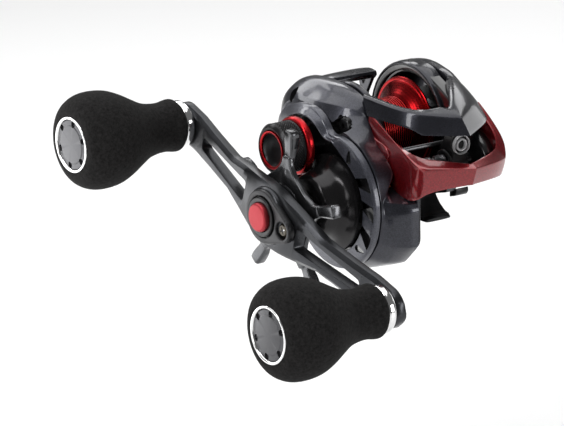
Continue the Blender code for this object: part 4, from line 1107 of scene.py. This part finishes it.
def build_thumb_bar():
    rows = []
    # x, front edge, rear edge and how far the section sits below the middle's.
    for x, front, rear, low in (
        (-11.3, -20.4, -26.4, 1.2), (-9.6, -18.8, -27.4, 0.4), (-4, -17.7, -28, 0.1), (3, -17.3, -28.2, 0),
        (10.6, -17, -28.2, 0), (12.6, -17.4, -27.4, 0.2)
    ):
        middle = (front + rear) / 2
        ring = (
            (rear, 36), (rear + 0.2, 36.9), (middle, 38.9), (front - 0.6, 38.4), (front, 37.2),
            (front - 1.2, 35.6), (middle, 35.6)
        )
        rows.append([(x, forward, up - low) for forward, up in ring])
    creases = [(0, 0, 5, 0.7), (1, 0, 5, 0.7), (3, 0, 5, 0.6), (4, 0, 5, 0.7), (5, 0, 5, 0.5)]
    top = cage("clutch_bar_pad", rows, GUNMETAL, creases)
    web = [(-26.8, 36.4), (-17.6, 36.8), (-19.4, 33.4), (-21.4, 29.6), (-21.4, 24), (-23.6, 24), (-24.8, 30.2)]
    hole = eased([(-24, 34.4), (-22.2, 34.4), (-23.2, 32.6)], 0.3)
    for name, left, right in (("clutch_bar_web", 10.8, 12.3), ("clutch_bar_foot", -11.2, -9.8)):
        shown(extruded(name, web, left, right, GUNMETAL, holes=[hole]), "clutch_bar", "gunmetal_paint")
    shown(top, "clutch_bar", "gunmetal_paint", "thumb_bar")


def build_line_guide():
    x, up = 7.0, 26.2
    inner = [(1.55, 37.2), (1.55, 38.3), (1.7, 38.7), (1.95, 38.8), (2.2, 38.6), (2.25, 38.2), (2.25, 37.2)]
    shown(turned_forward("line_ring", inner, x, up, CERAMIC), "line_guide", "grey_ceramic", "line_guide_ring")
    outer = [(3.05, 37.2), (3.05, 38.5), (3.15, 38.8), (3.3, 38.8), (3.4, 38.5), (3.4, 37.2)]
    shown(turned_forward("line_ring_bezel", outer, x, up, CERAMIC), "line_guide", "grey_ceramic")
    body = [(29.6, 24.6), (29.6, 15), (33, 14.4), (37.3, 15.4), (37.3, 29), (35.4, 29.6), (33.4, 28.6)]
    block = extruded("carriage_block", body, x - 2.8, x + 2.8, PLASTIC)
    boss = [(0, 33), (3.9, 33), (3.9, 37.2), (3.5, 37.6), (0, 37.6)]
    boss = turned_forward("carriage_boss", boss, x, up, PLASTIC)
    tube = [(0, -3.6), (4.3, -3.6), (4.7, -3.2), (4.7, 3.2), (4.3, 3.6), (0, 3.6)]
    tube = turned("carriage_tube", [(radius, x + out) for radius, out in tube], WORM, PLASTIC, 64)
    carve(block, boss, tube, operation="UNION")
    eye = turned_forward("carriage_eye", [(0, 25), (1.5, 25), (1.5, 41), (0, 41)], x, up, PLASTIC)
    bore = peg("carriage_bore", 3.35, -4, 20, WORM, PLASTIC, 64)
    carve(block, eye, bore)
    shown(block, "line_guide", "black_plastic", "line_guide_carriage")


def build_worm():
    """Shaft with two crossed helical grooves."""
    steps, rows, left, right = 64, 190, -9.8, 11.8
    radius, lead, groove, half = 3.0, 6.0, 0.75, 0.85
    lines = [circle(x, reach, WORM, steps) for x, reach in ((-15.1, 1.5), (-12.6, 1.5), (-12.6, 2), (-9.9, 2))]
    for row in range(rows + 1):
        x = left + (right - left) * row / rows
        fade = min(1, row / 6, (rows - row) / 6)
        reaches = []
        for share in (i / steps for i in range(steps)):
            near = min(abs((share + x / lead) % 1 - 0.5), abs((share - x / lead) % 1 - 0.5)) * lead
            reaches.append(radius - groove * max(0.0, 1 - (near / half) ** 4) * fade)
        lines.append(circle(x, reaches, WORM, steps))
    lines += [circle(x, 2.0, WORM, steps) for x in (11.9, 14.2)]
    shown(skin("level_wind_worm", lines, WORM_STEEL), "worm", "steel", "worm_shaft")


build_frame()
build_foot()
build_palm_cover()
build_hood()
build_cowl()
build_thumb_bar()
build_line_guide()
build_worm()


# CAD nodes that keep their shape get a finish.

FINISHES = {
    "brake_magnet_ring": BLACK_METAL, "brake_rotor": BLACK_METAL, "guide_rod": WORM_STEEL,
    "level_wind_idler": PLASTIC, "drive_gear": BRASS, "pinion_gear": BRASS, "worm_gear": BRASS,
    "drag_washer_inner": CARBON, "drag_washer_outer": CARBON,
}
for node_name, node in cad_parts.items():
    node.data.materials.clear()
    node.data.materials.append(FINISHES.get(node_name, STEEL).material)


# Studio: pale floor, soft lights and the camera.


def build_stage():
    floor_paint = Paint("pale_floor", (0.93, 0.93, 0.93), 0.0, 0.9)
    floor_paint.tint(floor_paint.noise(3.0), 0.99, 1.01)
    mesh = bpy.data.meshes.new("floor")
    size, height = 6.0, -0.10
    corners = ((-size, -size), (size, -size), (size, size), (-size, size))
    mesh.from_pydata([(x, y, height) for x, y in corners], [], [(0, 1, 2, 3)])
    mesh.materials.append(floor_paint.material)
    floor = placed("floor", mesh)

    world = bpy.data.worlds.new("studio")
    world.use_nodes = True
    background = world.node_tree.nodes["Background"].inputs
    background["Color"].default_value, background["Strength"].default_value = (1, 1, 1, 1), 0.16
    bpy.context.scene.world = world

    # Name, place from the centre in metres, width, height and watts.
    lights = (
        ("overhead", (0.1, 0.3, 1.2), 1.5, 1.3, 13.4),
        ("left_strip", (-0.55, -0.05, 0.55), 0.12, 0.5, 2.2),
        ("rear_strip", (0.05, 0.55, 0.40), 0.7, 0.12, 1.5),
        ("handle_fill", (-0.9, -0.35, 0.12), 0.45, 0.45, 2.2),
        ("nose_fill", (0.45, -0.8, 0.18), 0.25, 0.4, 2.5),
        ("deck_box", (0.75, 0.50, 0.50), 0.30, 0.30, 0.9),
        ("plate_mirror", (-0.160, 0.195, -0.01), 0.17, 0.20, 0.26),
        ("right_side", (0.95, 0.16, 0.06), 0.5, 0.4, 1.1),
    )
    for name, offset, width, height, power in lights:
        softbox(name, Vector((-0.02, -0.01, 0.01)), Vector(offset), width, height, power)


def softbox(name, centre, offset, width, height, power):
    """A soft light that faces the centre."""
    light = bpy.data.lights.new(name, "AREA")
    light.shape = "RECTANGLE"
    light.size, light.size_y = width, height
    light.energy = power
    made = placed(name, light)
    made.location = centre + offset
    made.rotation_mode = "QUATERNION"
    made.rotation_quaternion = offset.to_track_quat("Z", "Y")


def build_camera():
    azimuth, elevation, roll = (math.radians(a) for a in (-35.44, 18.0, 0.285))
    target, distance = Vector((-0.032065, 0.011670, -0.004361)), 1.3519
    back = Vector(
        (math.sin(azimuth) * math.cos(elevation), -math.cos(azimuth) * math.cos(elevation), math.sin(elevation))
    )
    right = Vector((math.cos(azimuth), math.sin(azimuth), 0))
    up = back.cross(right)
    rolled_right = right * math.cos(roll) + up * math.sin(roll)
    rolled_up = up * math.cos(roll) - right * math.sin(roll)
    data = bpy.data.cameras.new("camera")
    data.sensor_width, data.lens = 36.0, 249.24
    data.clip_start, data.clip_end = 0.05, 20
    camera = placed("camera", data)
    rotation = Matrix((rolled_right, rolled_up, back)).transposed()
    camera.matrix_world = Matrix.Translation(target + back * distance) @ rotation.to_4x4()
    bpy.context.scene.camera = camera
    bpy.context.scene.view_settings.view_transform = "Standard"


build_stage()
build_camera()
